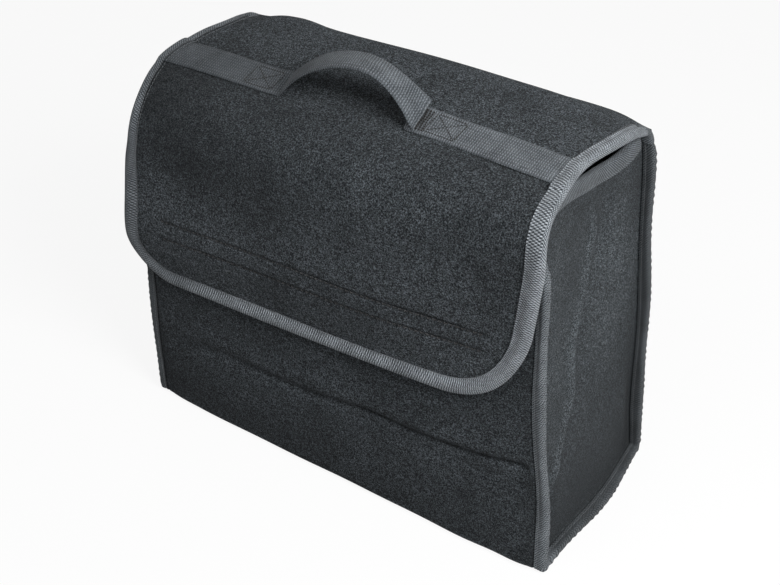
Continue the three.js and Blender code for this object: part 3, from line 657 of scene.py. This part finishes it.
def bind_side_seam(side_name, hand):
    y, z = seam_line(seam_runs, SEAM_MIDDLE, FRONT_HEIGHT, GUSSET_BACK)
    lengths = lengths_of(np.stack([y, z], -1))
    outlines = []
    for length in lengths:
        leg = SEAM_FACE_LEG - 0.35 + 0.35 * math.sin(length / 23 + hand)
        outline = tape_outline(SEAM_HALF, leg, SEAM_LEG)
        outer = outline[:, 0] > -3.5
        soft = 0.5 * math.sin(length * math.tau / 7.5) + 0.8 * math.sin(length / 19 + hand)
        outline[outer, 0] += soft * np.clip((outline[outer, 0] + 3.5) / 3, 0, 1)
        tucked = 1 - 0.55 * (1 - smoothstep(min(length, lengths[-1] - length), 0, 14))
        outlines.append(outline * [1, tucked] - [(1 - tucked) * 3, 0])

    def place(k, a, b):
        depth, height = seam_line(seam_runs[k], SEAM_MIDDLE - b, FRONT_HEIGHT, GUSSET_BACK)
        return bag_point(hand * (FELT_EDGE + a), depth, height)

    band = folded_band(f"side_seam_{side_name}_tape", outlines, place, lengths)
    dress(band, seam_tape_painted_shade_and_light, "bag", "binding_tape", f"seam_binding_{side_name}")
    stitch_tape(f"side_seam_{side_name}", place, len(lengths), SEAM_HALF, SEAM_STITCHES, sunk=0)


def bind_front_top():
    reach = MARGIN_EDGE - MARGIN_RAMP - CLEAR
    x = np.linspace(-reach, reach, 124)
    outline = tape_outline(FELT / 2, TAPE_LEG, TAPE_LEG)

    def place(k, a, b):
        z = FRONT_HEIGHT + a
        y = -DEPTH / 2 + FELT / 2 - b - front_bow(x[k], z)
        return bag_point(x[k], y, z)

    band = folded_band("front_top_tape", [outline] * len(x), place, x - x[0])
    dress(band, grey_tape, "bag", "binding_tape", "front_top_binding")
    stitch_tape("front_top", place, len(x), FELT / 2, TOP_STITCHES)


for side_name, hand in SIDES:
    bind_gusset_top(side_name, hand)
    bind_side_seam(side_name, hand)
bind_front_top()


# Hook strips on the back. Two strips of black nylon hook tape, 20 mm wide, sewn on along both edges.
# They hold the bag to the carpet of the boot; each is a thin woven ground with rows of bent hooks.
HOOK_GROUND, HOOK_WIDTH, HOOK_LENGTH, BACK_HOOK_LEVELS = 0.7, 20, 320, (70, 250)
HOOK_PITCH, HOOK_ROW_PITCH, HOOK_SCATTER, HOOK_HEM = 1.9, 1.75, 0.35, 0.25
STRIP_STITCHES = HOOK_WIDTH / 2 - 1.4
strip_x = np.linspace(-HOOK_LENGTH / 2, HOOK_LENGTH / 2, 108)
hook_x = np.arange(2 - HOOK_LENGTH / 2, HOOK_LENGTH / 2 - 1.5, HOOK_PITCH)


black_hook_tape = spun_nylon(
    "black_hook_tape", (0.006, 0.0065, 0.007), (0.022, 0.024, 0.026), fibre=(900, 3, 0.6), span=(0.35, 0.7),
    bump=(0.0003, 0.7), rough=(0.75, -0.25), Specular_IOR_Level=0.35, Sheen_Weight=0.1,
)


def hooks(name, body, spots, outward, along):
    """One small bent hook at each spot."""
    height, half = 0.7, 0.09
    path = [(0, -0.15), (0, height * 0.6), (0.12, height * 0.95), (0.34, height * 0.9), (0.42, height * 0.6)]
    across = np.cross(outward, along)
    rings = []
    for forward, up in path:
        centre = spots + along * forward + outward * up
        rings.append(np.stack([centre + way * half for way in (along, across, -along, -across)], 1))
    return dress(tubes(name, np.stack(rings, 1)), black_hook_tape, body, "hook_tape")


def back_hook_strip(name, node, level):
    across = HOOK_WIDTH / 2 * np.array([-1, -0.96, -0.6, -0.2, 0.2, 0.6, 0.96, 1])
    across, x = np.meshgrid(across, strip_x, indexing="ij")
    ground = DEPTH / 2 + CLEAR
    top = ground + HOOK_GROUND
    hem = HOOK_HEM * (np.abs(across) > 0.98 * HOOK_WIDTH / 2)
    grids = [bag_point(x, y, level + across) for y in (top - hem, ground)]
    strip = cut_sheet(name, *grids, np.stack([x, across], -1))
    dress(strip, black_hook_tape, "bag", "hook_tape", node)
    hx, hz = np.meshgrid(hook_x, level + np.arange(-7, 7.1, HOOK_ROW_PITCH), indexing="ij")
    hx, hz = hx.ravel(), hz.ravel()
    spots = bag_point(hx + HOOK_SCATTER * np.sin(hz * 7.1 + hx * 3.3), top, hz)
    outward = np.array([0, 1.0, 0])
    hooks(name + "_hooks", "bag", spots, outward, np.array([0, 0, 1.0]))
    line = np.linspace(2 - HOOK_LENGTH / 2, HOOK_LENGTH / 2 - 2, 100)
    for label, side in (("lower", -1), ("upper", 1)):
        for suffix, y, hand in (("", top, 1), ("_inside", DEPTH / 2 - FELT, -1)):
            track = bag_point(line, y, level + side * STRIP_STITCHES)
            way = np.broadcast_to(hand * outward, track.shape)
            lockstitch(f"{name}_{label}_stitches{suffix}", track, way, material=dark_thread)


back_hook_strip("back_hook_lower", "back_hook_strip_lower", BACK_HOOK_LEVELS[0])
back_hook_strip("back_hook_upper", "back_hook_strip_upper", BACK_HOOK_LEVELS[1])


# Lid. A flap of the same felt that folds over from the back panel, domes over the bag and hangs down
# its front. Its lower corners are rounded. Two rows of stitches show where hook tape is sewn inside.
LID_CROWN_Y, LID_BEND, FRONT_REACH, LID_CORNERS = -22, 45, 60, (46, 77)
LID_DOME, LID_DOME_PEAK, LID_DOME_END, LID_EDGE = 11, 22, 110, 0.2
# the front of the lid hangs to the left by its drift; its lower edge bows down: place, half length, depth
LID_DRIFT, LID_DRIFT_SPAN, LID_BOWS = 6, (180, 290), [(-75, 70, 3.0), (80, 55, 1.0)]
# narrower places of the lid: side, distance from the crease, half length, depth
LID_WAISTS = [
    (-1, 46, 27, 7.4), (-1, 82, 14, 1.6), (-1, 120, 22, -2.2), (-1, 190, 26, 1.6), (-1, 258, 30, 4.2),
    (1, 98, 30, 5.5), (1, 186, 24, -2.8), (1, 290, 70, 4.3),
]
LID_GAP, PROUD = 1, CLEAR + TAPE
LID_BELLY, LID_BELLY_LENGTH = 8, 110
HOOK_ABOVE_EDGE = 47
HINGE_Y = DEPTH / 2 - FELT / 2
LID_TOP = HEIGHT + LID_RISE - FELT / 2
LID_DROP_Y = -(DEPTH / 2 + PROUD + LID_GAP + PROUD + FELT / 2)


def bezier(*corners):
    t = np.linspace(0, 1, 600)[:, None]
    p0, p1, p2, p3 = (np.array(c, float) for c in corners)
    return (1 - t)**3 * p0 + 3 * t * (1 - t)**2 * p1 + 3 * t**2 * (1 - t) * p2 + t**3 * p3


lid_crown = (LID_CROWN_Y, LID_TOP)
back_half = bezier((HINGE_Y, HEIGHT), (HINGE_Y - 24, HEIGHT + 7), (LID_CROWN_Y + 52, LID_TOP), lid_crown)
bend_foot = (LID_DROP_Y, LID_TOP - LID_BEND)
front_half = bezier(lid_crown, (LID_CROWN_Y - 40, LID_TOP), (LID_DROP_Y, LID_TOP - 14), bend_foot)
lid_line = np.concatenate([back_half, front_half[1:], [[LID_DROP_Y, LID_LOWER_EDGE]]])
lid_reach = lengths_of(lid_line)
LID_LENGTH = lid_reach[-1]
CREASE_TO_BEND = LID_LENGTH - (LID_TOP - LID_BEND - LID_LOWER_EDGE)
lid_start = (lid_line[1] - lid_line[0]) / np.linalg.norm(lid_line[1] - lid_line[0])


def lid_middle(x, s):
    x, s = np.broadcast_arrays(np.asarray(x, float), np.asarray(s, float))
    bow = sum(deep * hump(x, at, wide) for at, wide, deep in LID_BOWS)
    s = s + bow * smoothstep(s, 240, LID_LENGTH)
    x = x - LID_DRIFT * smoothstep(s, *LID_DRIFT_SPAN)
    before, beyond = np.minimum(s, 0), np.maximum(s - LID_LENGTH, 0)
    y = np.interp(s, lid_reach, lid_line[:, 0]) + before * lid_start[0]
    z = np.interp(s, lid_reach, lid_line[:, 1]) + before * lid_start[1] - beyond
    across = 1 - np.minimum(1, (x / FELT_EDGE) ** 2)
    dome = LID_DOME * across * (smoothstep(s, 0, LID_DOME_PEAK) - smoothstep(s, LID_DOME_PEAK, LID_DOME_END))
    low = smoothstep(s, CREASE_TO_BEND - FRONT_REACH, CREASE_TO_BEND)
    upward = np.clip((LID_LENGTH - s) / LID_BELLY_LENGTH, 0, 1)
    belly = LID_BELLY * (0.5 - x / WIDTH) * np.sin(np.pi * upward) ** 2
    tilt = -LID_TILT * (x / (WIDTH / 2)) * smoothstep(s, CREASE_TO_BEND, LID_LENGTH)
    return np.stack([x, y - low * front_bow(x, FRONT_HEIGHT) - belly, z + dome - tilt], -1)


def lid_point(x, s, lift):
    """A point of the bag above (positive lift) or below the middle layer of the lid."""
    along = lid_middle(x, s + 0.5) - lid_middle(x, s - 0.5)
    across = lid_middle(x + 0.5, s) - lid_middle(x - 0.5, s)
    normal = np.cross(along, across)
    normal /= np.linalg.norm(normal, axis=-1, keepdims=True)
    return settle(lid_middle(x, s) + normal * np.asarray(lift, float)[..., None])


def lid_reach_to(hand, s):
    """How far the lid's felt reaches to its left (-1) or right (1), less towards its lower corners."""
    corner = LID_CORNERS[hand > 0]
    up = np.clip(1 - (LID_LENGTH - s) / corner, 0, 1)
    waist = sum(depth * hump(s, at, half) for side, at, half, depth in LID_WAISTS if side == hand)
    return FELT_EDGE - waist - corner + corner * np.sqrt(1 - up**2)


# a lighter copy of the charcoal felt: painted light on the lid
lid_felt_painted_light = needled_felt("lid_felt_painted_light", (0.0065, 0.0083, 0.0098), (0.168, 0.192, 0.214), 18)
corner_rows = LID_LENGTH - max(LID_CORNERS) * (1 - np.sin(np.linspace(0, 1, 34) * np.pi / 2))
hook_rows = LID_LENGTH - HOOK_ABOVE_EDGE - np.array([0, HOOK_WIDTH])
lid_rows = np.unique(np.concatenate([
    [-1.8, -1.72, -1.5, -1.2, -0.8, -0.4], np.linspace(0, corner_rows[0], 92)[:-1], corner_rows,
    hook_rows[0] - 2 + np.linspace(-4, 4, 9), hook_rows[1] + 2 + np.linspace(-4, 4, 9),
]).round(2))
lid_shares = np.linspace(-1, 1, 131)
# the lines of the two stitch rows that hold the hook tape: 2 mm inside its edges
hook_seams = hook_rows + (-2, 2)


def sewn_at(s, x, width):
    """1 on a row of stitches of the lid, falling to 0 beside it, for each row."""
    return [hump(s, seam, width) * smoothstep(-np.abs(x), -162, -157) for seam in hook_seams]


def lid_side(side):
    s, share = np.meshgrid(lid_rows, lid_shares, indexing="ij")
    leftmost = -lid_reach_to(-1, s)
    x = leftmost + (share + 1) / 2 * (lid_reach_to(1, s) - leftmost)
    half = np.maximum(np.sqrt(np.maximum((FELT / 2) ** 2 - np.minimum(s, 0) ** 2, 0)), LID_EDGE / 2)
    groove = 0
    if side > 0:
        groove = 1.7 * sum(sewn_at(s, x, 1.5)) * (0.75 + 0.35 * np.sin(x / 1.08))
    dents = 0.9 * np.sin(x / 41 + s / 23) * np.sin(x / 27 - s / 39 + 1.1) * smoothstep(-np.abs(x), -180, -120)
    return lid_point(x, s, side * half + dents * within(s, 20, 50, 260, 300) - groove)


# painted light and shade on the lid: lighter near the crease and on the lower drop, painted shade on the
# bend, on the left side and in the grooves of the hook stitch rows
def lid_painted_shading():
    s, x = np.meshgrid(lid_rows, lid_shares * FELT_EDGE, indexing="ij")
    pale = 0.14 * smoothstep(-s, -110, -40) + 0.1 * smoothstep(s, 200, 240)
    left = 0.38 * (1 - smoothstep(x, -190, 40)) * within(s, 50, 120, 170, 280)
    bend = 0.18 * within(s, 80, 120, 170, 230)
    return pale - bend - left - 0.6 * sum(sewn_at(s, x, 1.3))


def stitch_lid(name, x, s, lift, rise=1, **options):
    """Stitches on the lid's outside, or on its inside where rise is below 0."""
    track = lid_point(x, s, lift)
    lockstitch(name, track, lid_point(x, s, lift + rise) - track, body="lid", **options)


lid = cut_sheet("lid_felt_panel", lid_side(1), lid_side(-1), rub=lid_painted_shading())
lid.data.materials.append(lid_felt_painted_light)
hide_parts("lid_panel")
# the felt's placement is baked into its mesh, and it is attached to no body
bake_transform(lid)
seam_x = np.linspace(3 - HOOK_LENGTH / 2, HOOK_LENGTH / 2 - 3, 180)
big_stitch = dict(pitch=4.7, length=3.1, thick=1.0, material=black_thread)
for label, seam in zip(("lower", "upper"), hook_seams):
    stitch_lid(f"lid_hook_{label}_stitches", seam_x, seam, FELT / 2 - 0.5, FELT / 2 + 0.5, **big_stitch)


# Hook strip of the lid. The same black hook tape, sewn inside the lid's drop, where it grips the felt
# of the front panel and keeps the lid shut.
under_felt = -(FELT / 2 + CLEAR)
under_tape = under_felt - HOOK_GROUND
s, x = np.meshgrid(np.linspace(hook_rows[1], hook_rows[0], 9), strip_x, indexing="ij")
strip = cut_sheet("lid_hook_ground", lid_point(x, s, under_felt), lid_point(x, s, under_tape))
dress(strip, black_hook_tape, "lid", "hook_tape", "lid_hook_strip")
hook_s = np.arange(hook_rows[1] + 3, hook_rows[0] - 2.9, HOOK_ROW_PITCH)
hx, hs = (grid.ravel() for grid in np.meshgrid(hook_x, hook_s, indexing="ij"))
hx = hx + HOOK_SCATTER * np.sin(hs * 7.1)
spots = lid_point(hx, hs, under_tape)
inwards = lid_point(hx, hs, under_tape - 1) - spots
hooks("lid_hooks", "lid", spots, inwards, lid_point(hx, hs - 1, under_tape) - spots)
for label, row in (("lower", hook_rows[0] - 1.5), ("upper", hook_rows[1] + 1.5)):
    stitch_lid(f"lid_hook_{label}_stitches_inside", seam_x, row, under_tape, -1, material=dark_thread)


# Carrying strap. One length of ribbed polypropylene webbing, 30 mm wide, sewn flat across the lid from
# edge to edge. Between two boxed crosses it stands up as the handle, and its right foot is tucked under.
WEBBING, STRAP_WIDTH, HANDLE_TUCK, STRAP_Y = 1.6, 30, 6, -21
STRAP_S = lengths_of(back_half)[-1] + (LID_CROWN_Y - STRAP_Y)
# the handle's two edges, rear and front: left foot, its pull, the apex between its two pulls, the pull of
# the right foot, and the right foot with the radius of its loops
HANDLE_EDGES = [
    (-78, (-60, 16), (-36, 38.5), (0, 38.5), (18, 38.5), (33, 27), (51.5, 2.3)),
    (-72, (-58, 18), (-32, 43), (8, 43), (30, 44), (40, 32), (56.5, 0.95)),
]
STRAP_DRIFT, STRAP_DRIFT_FROM = 13.5, 48
STRAP_INSET, STRAP_END = 1, 50
RIB_PITCH, RIB_HEIGHT = 2.3, 0.15


def ribbed_webbing(name):
    material, cloth, shader = finish_of(
        name, Specular_IOR_Level=0.2, Sheen_Weight=0.08, Sheen_Roughness=0.45, Metallic=0
    )
    along, across, place = axes_of(cloth)
    drift = fibres(place, 120) * 0.0012
    ribs = ((along + drift) * (math.tau / (RIB_PITCH * 0.001))).sine()
    yarns = ((across + drift) * (math.tau / 0.0031)).sine()
    fuzz = fibres(place, 1300, 3, 0.65)
    wear = fibres(place, 60, 3, 0.6)
    height = ribs * 0.20 + ribs * yarns * 0.17 + yarns * 0.06 + 0.5 + (fuzz - 0.5) * 1.4
    # painted shade: the webbing darkens towards the bag's left
    strap_painted_shade = 0.42 + 0.58 * cloth.node("SeparateXYZ", 0, Vector=place).between(-0.12, 0.07)
    tone = (height + (wear - 0.5) * 0.6).between(0.12, 1.05) ** 1.35 * strap_painted_shade
    bump = cloth.node("Bump", Height=height, Distance=0.0008, Strength=0.9)
    colour = tone.tint((0.014, 0.018, 0.022), (0.262, 0.290, 0.318))
    weave_in(cloth, shader, Base_Color=colour, Roughness=0.9 - 0.2 * height, Normal=bump)
    return material


grey_webbing = ribbed_webbing("grey_webbing")


def stations_along(run, many):
    reach = lengths_of(run)
    at = np.linspace(0, reach[-1], many)
    return np.stack([np.interp(at, reach, run[:, n]) for n in (0, 1)], -1)


def strap_route(left_foot, rise, shoulder, apex, past, fall, right_foot):
    """One edge of the strap, as distance across the lid and height above the lid's middle layer."""
    flat = WEBBING / 2 + FELT / 2 + CLEAR
    end = FELT_EDGE - STRAP_INSET
    right, turn = right_foot
    top = flat + 4 * turn
    arc = np.linspace(0, np.pi, 12)
    tuck_left = right - HANDLE_TUCK
    runs = [
        np.array([[-end, flat], [left_foot - 1, flat]]),
        bezier((left_foot, flat), rise, shoulder, apex),
        bezier(apex, past, fall, (right, top)),
        np.stack([right + turn * np.sin(arc), top - turn + turn * np.cos(arc)], -1),
        np.stack([tuck_left - turn * np.sin(arc), flat + turn + turn * np.cos(arc)], -1),
        np.array([[tuck_left + 0.2, flat], [end, flat]]),
    ]
    counts = (260, 130, 130, 10, 10, 320)
    return np.concatenate([stations_along(run, many)[:-1] for run, many in zip(runs, counts)])


routes = [strap_route(*edge) for edge in HANDLE_EDGES]
half_strap = STRAP_WIDTH / 2
strap_across = np.linspace(1 - half_strap, half_strap - 1, 15)
strap_hem = half_strap - np.array([0.2, 0])
strap_across = np.concatenate([-strap_hem[::-1], strap_across, strap_hem])
from_edge = half_strap - np.abs(strap_across)
fore = (strap_across[None, :, None] + half_strap) / STRAP_WIDTH
route = routes[0][:, None] * (1 - fore) + routes[1][:, None] * fore
route_reach = lengths_of(route[:, len(strap_across) // 2])
route_way = np.gradient(route, axis=0)
route_way /= np.linalg.norm(route_way, axis=-1, keepdims=True)
route_normal = np.stack([-route_way[..., 1], route_way[..., 0]], -1)


def strap_drift(x):
    forward = np.clip((x - STRAP_DRIFT_FROM) / (FELT_EDGE - STRAP_DRIFT_FROM), 0, 1) ** 1.2
    return STRAP_DRIFT * forward + 1.3 * smoothstep(-x, 60, 100)


def strap_side(side):
    rib = RIB_HEIGHT * np.abs(np.sin(np.pi * route_reach / RIB_PITCH))[:, None]
    hem = np.select([from_edge < 0.1, from_edge < 0.5], [0.45, 0.12], 0)
    half = WEBBING / 2 - RIB_HEIGHT + rib - hem
    lifted = smoothstep(route[..., 1], 8, 24)
    cup = 1.3 * lifted * (1 - (strap_across / half_strap) ** 2)
    spot = route + (side * half + cup)[..., None] * route_normal
    wander = 0.35 * np.sin(route_reach / 19)[:, None] * np.sign(strap_across) * (from_edge < 1)
    s = STRAP_S + strap_across * (1 - 0.06 * lifted) + wander + strap_drift(spot[..., 0])
    # the strap's two ends shorten or lengthen with the lid, so that they stay under the tape
    fixed = FELT_EDGE - STRAP_INSET - STRAP_END
    x, reach = np.abs(spot[..., 0]), np.where(spot[..., 0] > 0, lid_reach_to(1, s), lid_reach_to(-1, s)) - 0.8
    x = np.where(x > fixed, fixed + (x - fixed) * (reach - fixed) / STRAP_END, x)
    return lid_point(np.sign(spot[..., 0]) * x, s, spot[..., 1])


strap_run = np.stack(np.broadcast_arrays(route_reach[:, None], strap_across), -1)
strap = cut_sheet("carry_strap_webbing", strap_side(1), strap_side(-1), strap_run)
dress(strap, grey_webbing, "lid", "webbing", "carry_strap")
strap_face = FELT / 2 + CLEAR + WEBBING
small_stitch = dict(pitch=2.7, length=2.2, thick=0.95, material=black_thread)
for label, x0, x1 in (("left", -112, -83), ("right", 64, 93)):
    s0, s1 = STRAP_S - 11, STRAP_S + 11
    corners = [(x0, s0), (x1, s0), (x1, s1), (x0, s1), (x0, s0), (x1, s1), (x1, s0), (x0, s1)]
    for n, ((xa, sa), (xb, sb)) in enumerate(zip(corners[:-1], corners[1:])):
        share = np.linspace(0, 1, 24)
        x = xa + (xb - xa) * share
        s = sa + (sb - sa) * share + strap_drift(x)
        stitch_lid(f"strap_cross_{label}_{n}", x, s, strap_face, **small_stitch)

# painted shadow: three rows of black thread across the strap, where its right foot comes out of the tuck,
# stand for the tuck's shadow lines
for n, (x0, thick) in enumerate(((58.2, 1.9), (61.0, 1.6), (63.6, 1.3))):
    s = STRAP_S + np.linspace(-13.6, 13.6, 24)
    x = x0 + 0.4 * np.sin(s / 3 + n) + np.linspace(-4.5, 0, 24)
    bar = dict(pitch=2.5, length=2.5, thick=thick, material=black_thread)
    stitch_lid(f"strap_foot_painted_shadow_row_{n}", x, s + strap_drift(x), strap_face, **bar)


# Binding of the lid. The same grey tape goes round the lid's three free edges in one run, closing the
# ends of the strap under it, and is held by one row of lockstitch.
TAPE_START, TAPE_RAMP, LID_STITCHES = 9, 4, (9.4, 9.4)
# the width of the tape's face, at distances from the crease, on the left side and on the right
TAPE_LEGS_AT = (20, 60, 110, 150, 190, 260)
TAPE_LEGS = {-1: (4.6, 5.4, 6.2, 7.6, 9.0, 13.6), 1: (8, 9.2, 9.4, 12.4, 13.6, 13.6)}
# a lighter copy of the grey tape, painted light, with painted shade towards the bag's left
lid_twill_painted_light_and_shade = twill_tape("lid_twill_painted_light_and_shade", (0.018, 0.022, 0.026), (0.49, 0.535, 0.58), left_painted_shade=(0.42, -0.19, -0.09))


def bind_lid():
    runs = {}
    for hand in (-1, 1):
        corner = LID_CORNERS[hand > 0]
        bend = LID_LENGTH - corner * (1 - np.sin(np.linspace(0, 1, 34) * np.pi / 2))
        runs[hand] = np.concatenate([np.linspace(TAPE_START, bend[0], 92)[:-1], bend])
    ends = [hand * lid_reach_to(hand, LID_LENGTH) for hand in (-1, 1)]
    bottom = np.linspace(*ends, 92)[1:-1]
    x0 = np.concatenate([-lid_reach_to(-1, runs[-1]), bottom, lid_reach_to(1, runs[1])[::-1]])
    s0 = np.concatenate([runs[-1], 0 * bottom + LID_LENGTH, runs[1][::-1]])
    way = np.gradient(np.stack([x0, s0], -1), axis=0)
    out = np.stack([-way[:, 1], way[:, 0]], -1)
    out /= np.linalg.norm(out, axis=1, keepdims=True)
    lengths = lengths_of(np.stack([x0, s0], -1))
    beside_strap = np.abs(s0 - STRAP_S - strap_drift(x0)) - STRAP_WIDTH / 2
    over = (WEBBING + CLEAR) * (1 - smoothstep(beside_strap, 0, TAPE_RAMP))
    outlines = []
    for x, s, length, lift in zip(x0, s0, lengths, over):
        wide = np.interp(s, TAPE_LEGS_AT, TAPE_LEGS[1 if x > 0 else -1])
        puff = np.interp(s, (150, 260), (1.0, 2.1))
        outlines.append(tape_outline(FELT / 2, wide + 0.4 * math.sin(length / 31), TAPE_LEG, lift, puff))

    def place(k, a, b):
        return lid_point(x0[k] + a * out[k, 0], s0[k] + a * out[k, 1], b)

    band = folded_band("lid_tape", outlines, place, lengths)
    dress(band, lid_twill_painted_light_and_shade, "lid", "binding_tape", "lid_binding")
    stitch_tape("lid_tape", place, len(x0), FELT / 2, LID_STITCHES, lifts=over, body="lid")


bind_lid()


def bind_back_corner(side_name, hand):
    """The tape's end, turned round the corner where the lid grows out of the back, over the seam's end."""
    foot, rise = (HINGE_Y - 1.9, 305), (HINGE_Y - 1.9, 313)
    line = bezier(foot, rise, (HINGE_Y + 0.8, HEIGHT + 2.2), (HINGE_Y - 17, HEIGHT + 5.2))[::20]
    way = np.gradient(line, axis=0)
    way /= np.linalg.norm(way, axis=1, keepdims=True)
    out = np.stack([way[:, 1], -way[:, 0]], -1)
    share = np.linspace(0, 1, len(line))
    half = 4.3 - 1.1 * smoothstep(share, 0.35, 0.9) - 0.5 * (1 - smoothstep(share, 0, 0.12))
    turn = np.linspace(np.pi / 2, -np.pi / 2, 11)
    outlines = []
    for thick in half:
        face = [(-8.6, thick - 0.9), (-7.5, thick - 0.15), (-4, thick + 0.15)]
        nose = np.stack([-1.4 + (thick + 0.4) * np.cos(turn) * 0.75, thick * np.sin(turn)], -1)
        back = [(-4, -thick), (-7.5, 0.2 - thick), (-8.6, 0.8 - thick)]
        outlines.append(np.concatenate([face, nose, back]))

    def place(k, a, b):
        y, z = line[k, 0] + b * out[k, 0], line[k, 1] + b * out[k, 1]
        return bag_point(hand * (FELT_EDGE + a), y, z)

    sleeve = folded_band(f"back_corner_{side_name}_tape", outlines, place, lengths_of(line))
    sleeve.data.materials.append(grey_tape)
    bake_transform(sleeve)


for side_name, hand in SIDES:
    bind_back_corner(side_name, hand)


# Studio. A plain white floor, a broad soft light from the upper right, a weaker one from the left, and
# the camera above the bag's right front corner. The floor keeps the bag's soft shadow.
def seen_rays(tree):
    """1 for the rays that show a surface to the camera, also through glass and mirrors, and 0 for others."""
    rays = [tree.node("LightPath", f"Is {kind} Ray") for kind in ("Camera", "Glossy", "Transmission")]
    return tree.maths("MINIMUM", rays[0] + rays[1] + rays[2], 1.0)


floor_mesh = bpy.data.meshes.new("studio_floor")
floor_mesh.from_pydata([(-6, -6, 0), (6, -6, 0), (6, 6, 0), (-6, 6, 0)], [], [(0, 1, 2, 3)])
floor = put_in_scene("studio_floor", floor_mesh)
floor.location.z = -0.0006
white = bpy.data.materials.new("white_floor")
white.use_nodes = True
paint = Yarn(white.node_tree)
white.node_tree.nodes.clear()
matte = paint.node("BsdfDiffuse", Color=(0.42, 0.42, 0.42, 1))
glow = paint.node("Emission", Color=(1, 1, 1, 1), Strength=1.12)
seen = paint.node("MixShader", i0=seen_rays(paint) * 0.8, i1=matte, i2=glow)
paint.node("OutputMaterial", None, Surface=seen)
floor_mesh.materials.append(white)

world = bpy.data.worlds.new("studio")
world.use_nodes = True
sky = Yarn(world.node_tree)
world.node_tree.nodes.clear()
dome = sky.node("Background", Color=(1, 1, 1, 1), Strength=0.22 + 0.78 * seen_rays(sky))
sky.node("OutputWorld", None, Surface=dome)
bpy.context.scene.world = world


def softbox(name, spot, target, size, watts):
    lamp = bpy.data.lights.new(name, "AREA")
    lamp.shape, lamp.size, lamp.energy = "SQUARE", size, watts
    away = Vector(spot) - Vector(target)
    turn = away.to_track_quat("Z", "Y").to_matrix().to_4x4()
    put_in_scene(name, lamp).matrix_world = Matrix.Translation(spot) @ turn


softbox("main_softbox", (1.16, -0.38, 1.10), (0.05, 0, 0.15), 0.6, 29)
softbox("fill_softbox", (-0.35, -1.25, 1.75), (0, 0, 0.15), 1.1, 9.5)

FOCAL_PIXELS, FRAME_WIDTH = 1367.76, 780
AZIMUTH, ELEVATION, DISTANCE, ROLL = 0.6330, 0.6560, 1.2214, -0.0500
SHIFT_RIGHT, SHIFT_UP = 0.0011, 0.1110
lens = bpy.data.cameras.new("camera")
lens.sensor_width, lens.lens = 36, 36 * FOCAL_PIXELS / FRAME_WIDTH
camera = put_in_scene("camera", lens)
aim = Matrix.Rotation(AZIMUTH, 4, "Z") @ Matrix.Rotation(math.pi / 2 - ELEVATION, 4, "X")
stand = Matrix.Translation((SHIFT_RIGHT, SHIFT_UP, DISTANCE))
camera.matrix_world = aim @ stand @ Matrix.Rotation(ROLL, 4, "Z")
bpy.context.scene.camera = camera
bpy.context.scene.view_settings.view_transform = "Standard"
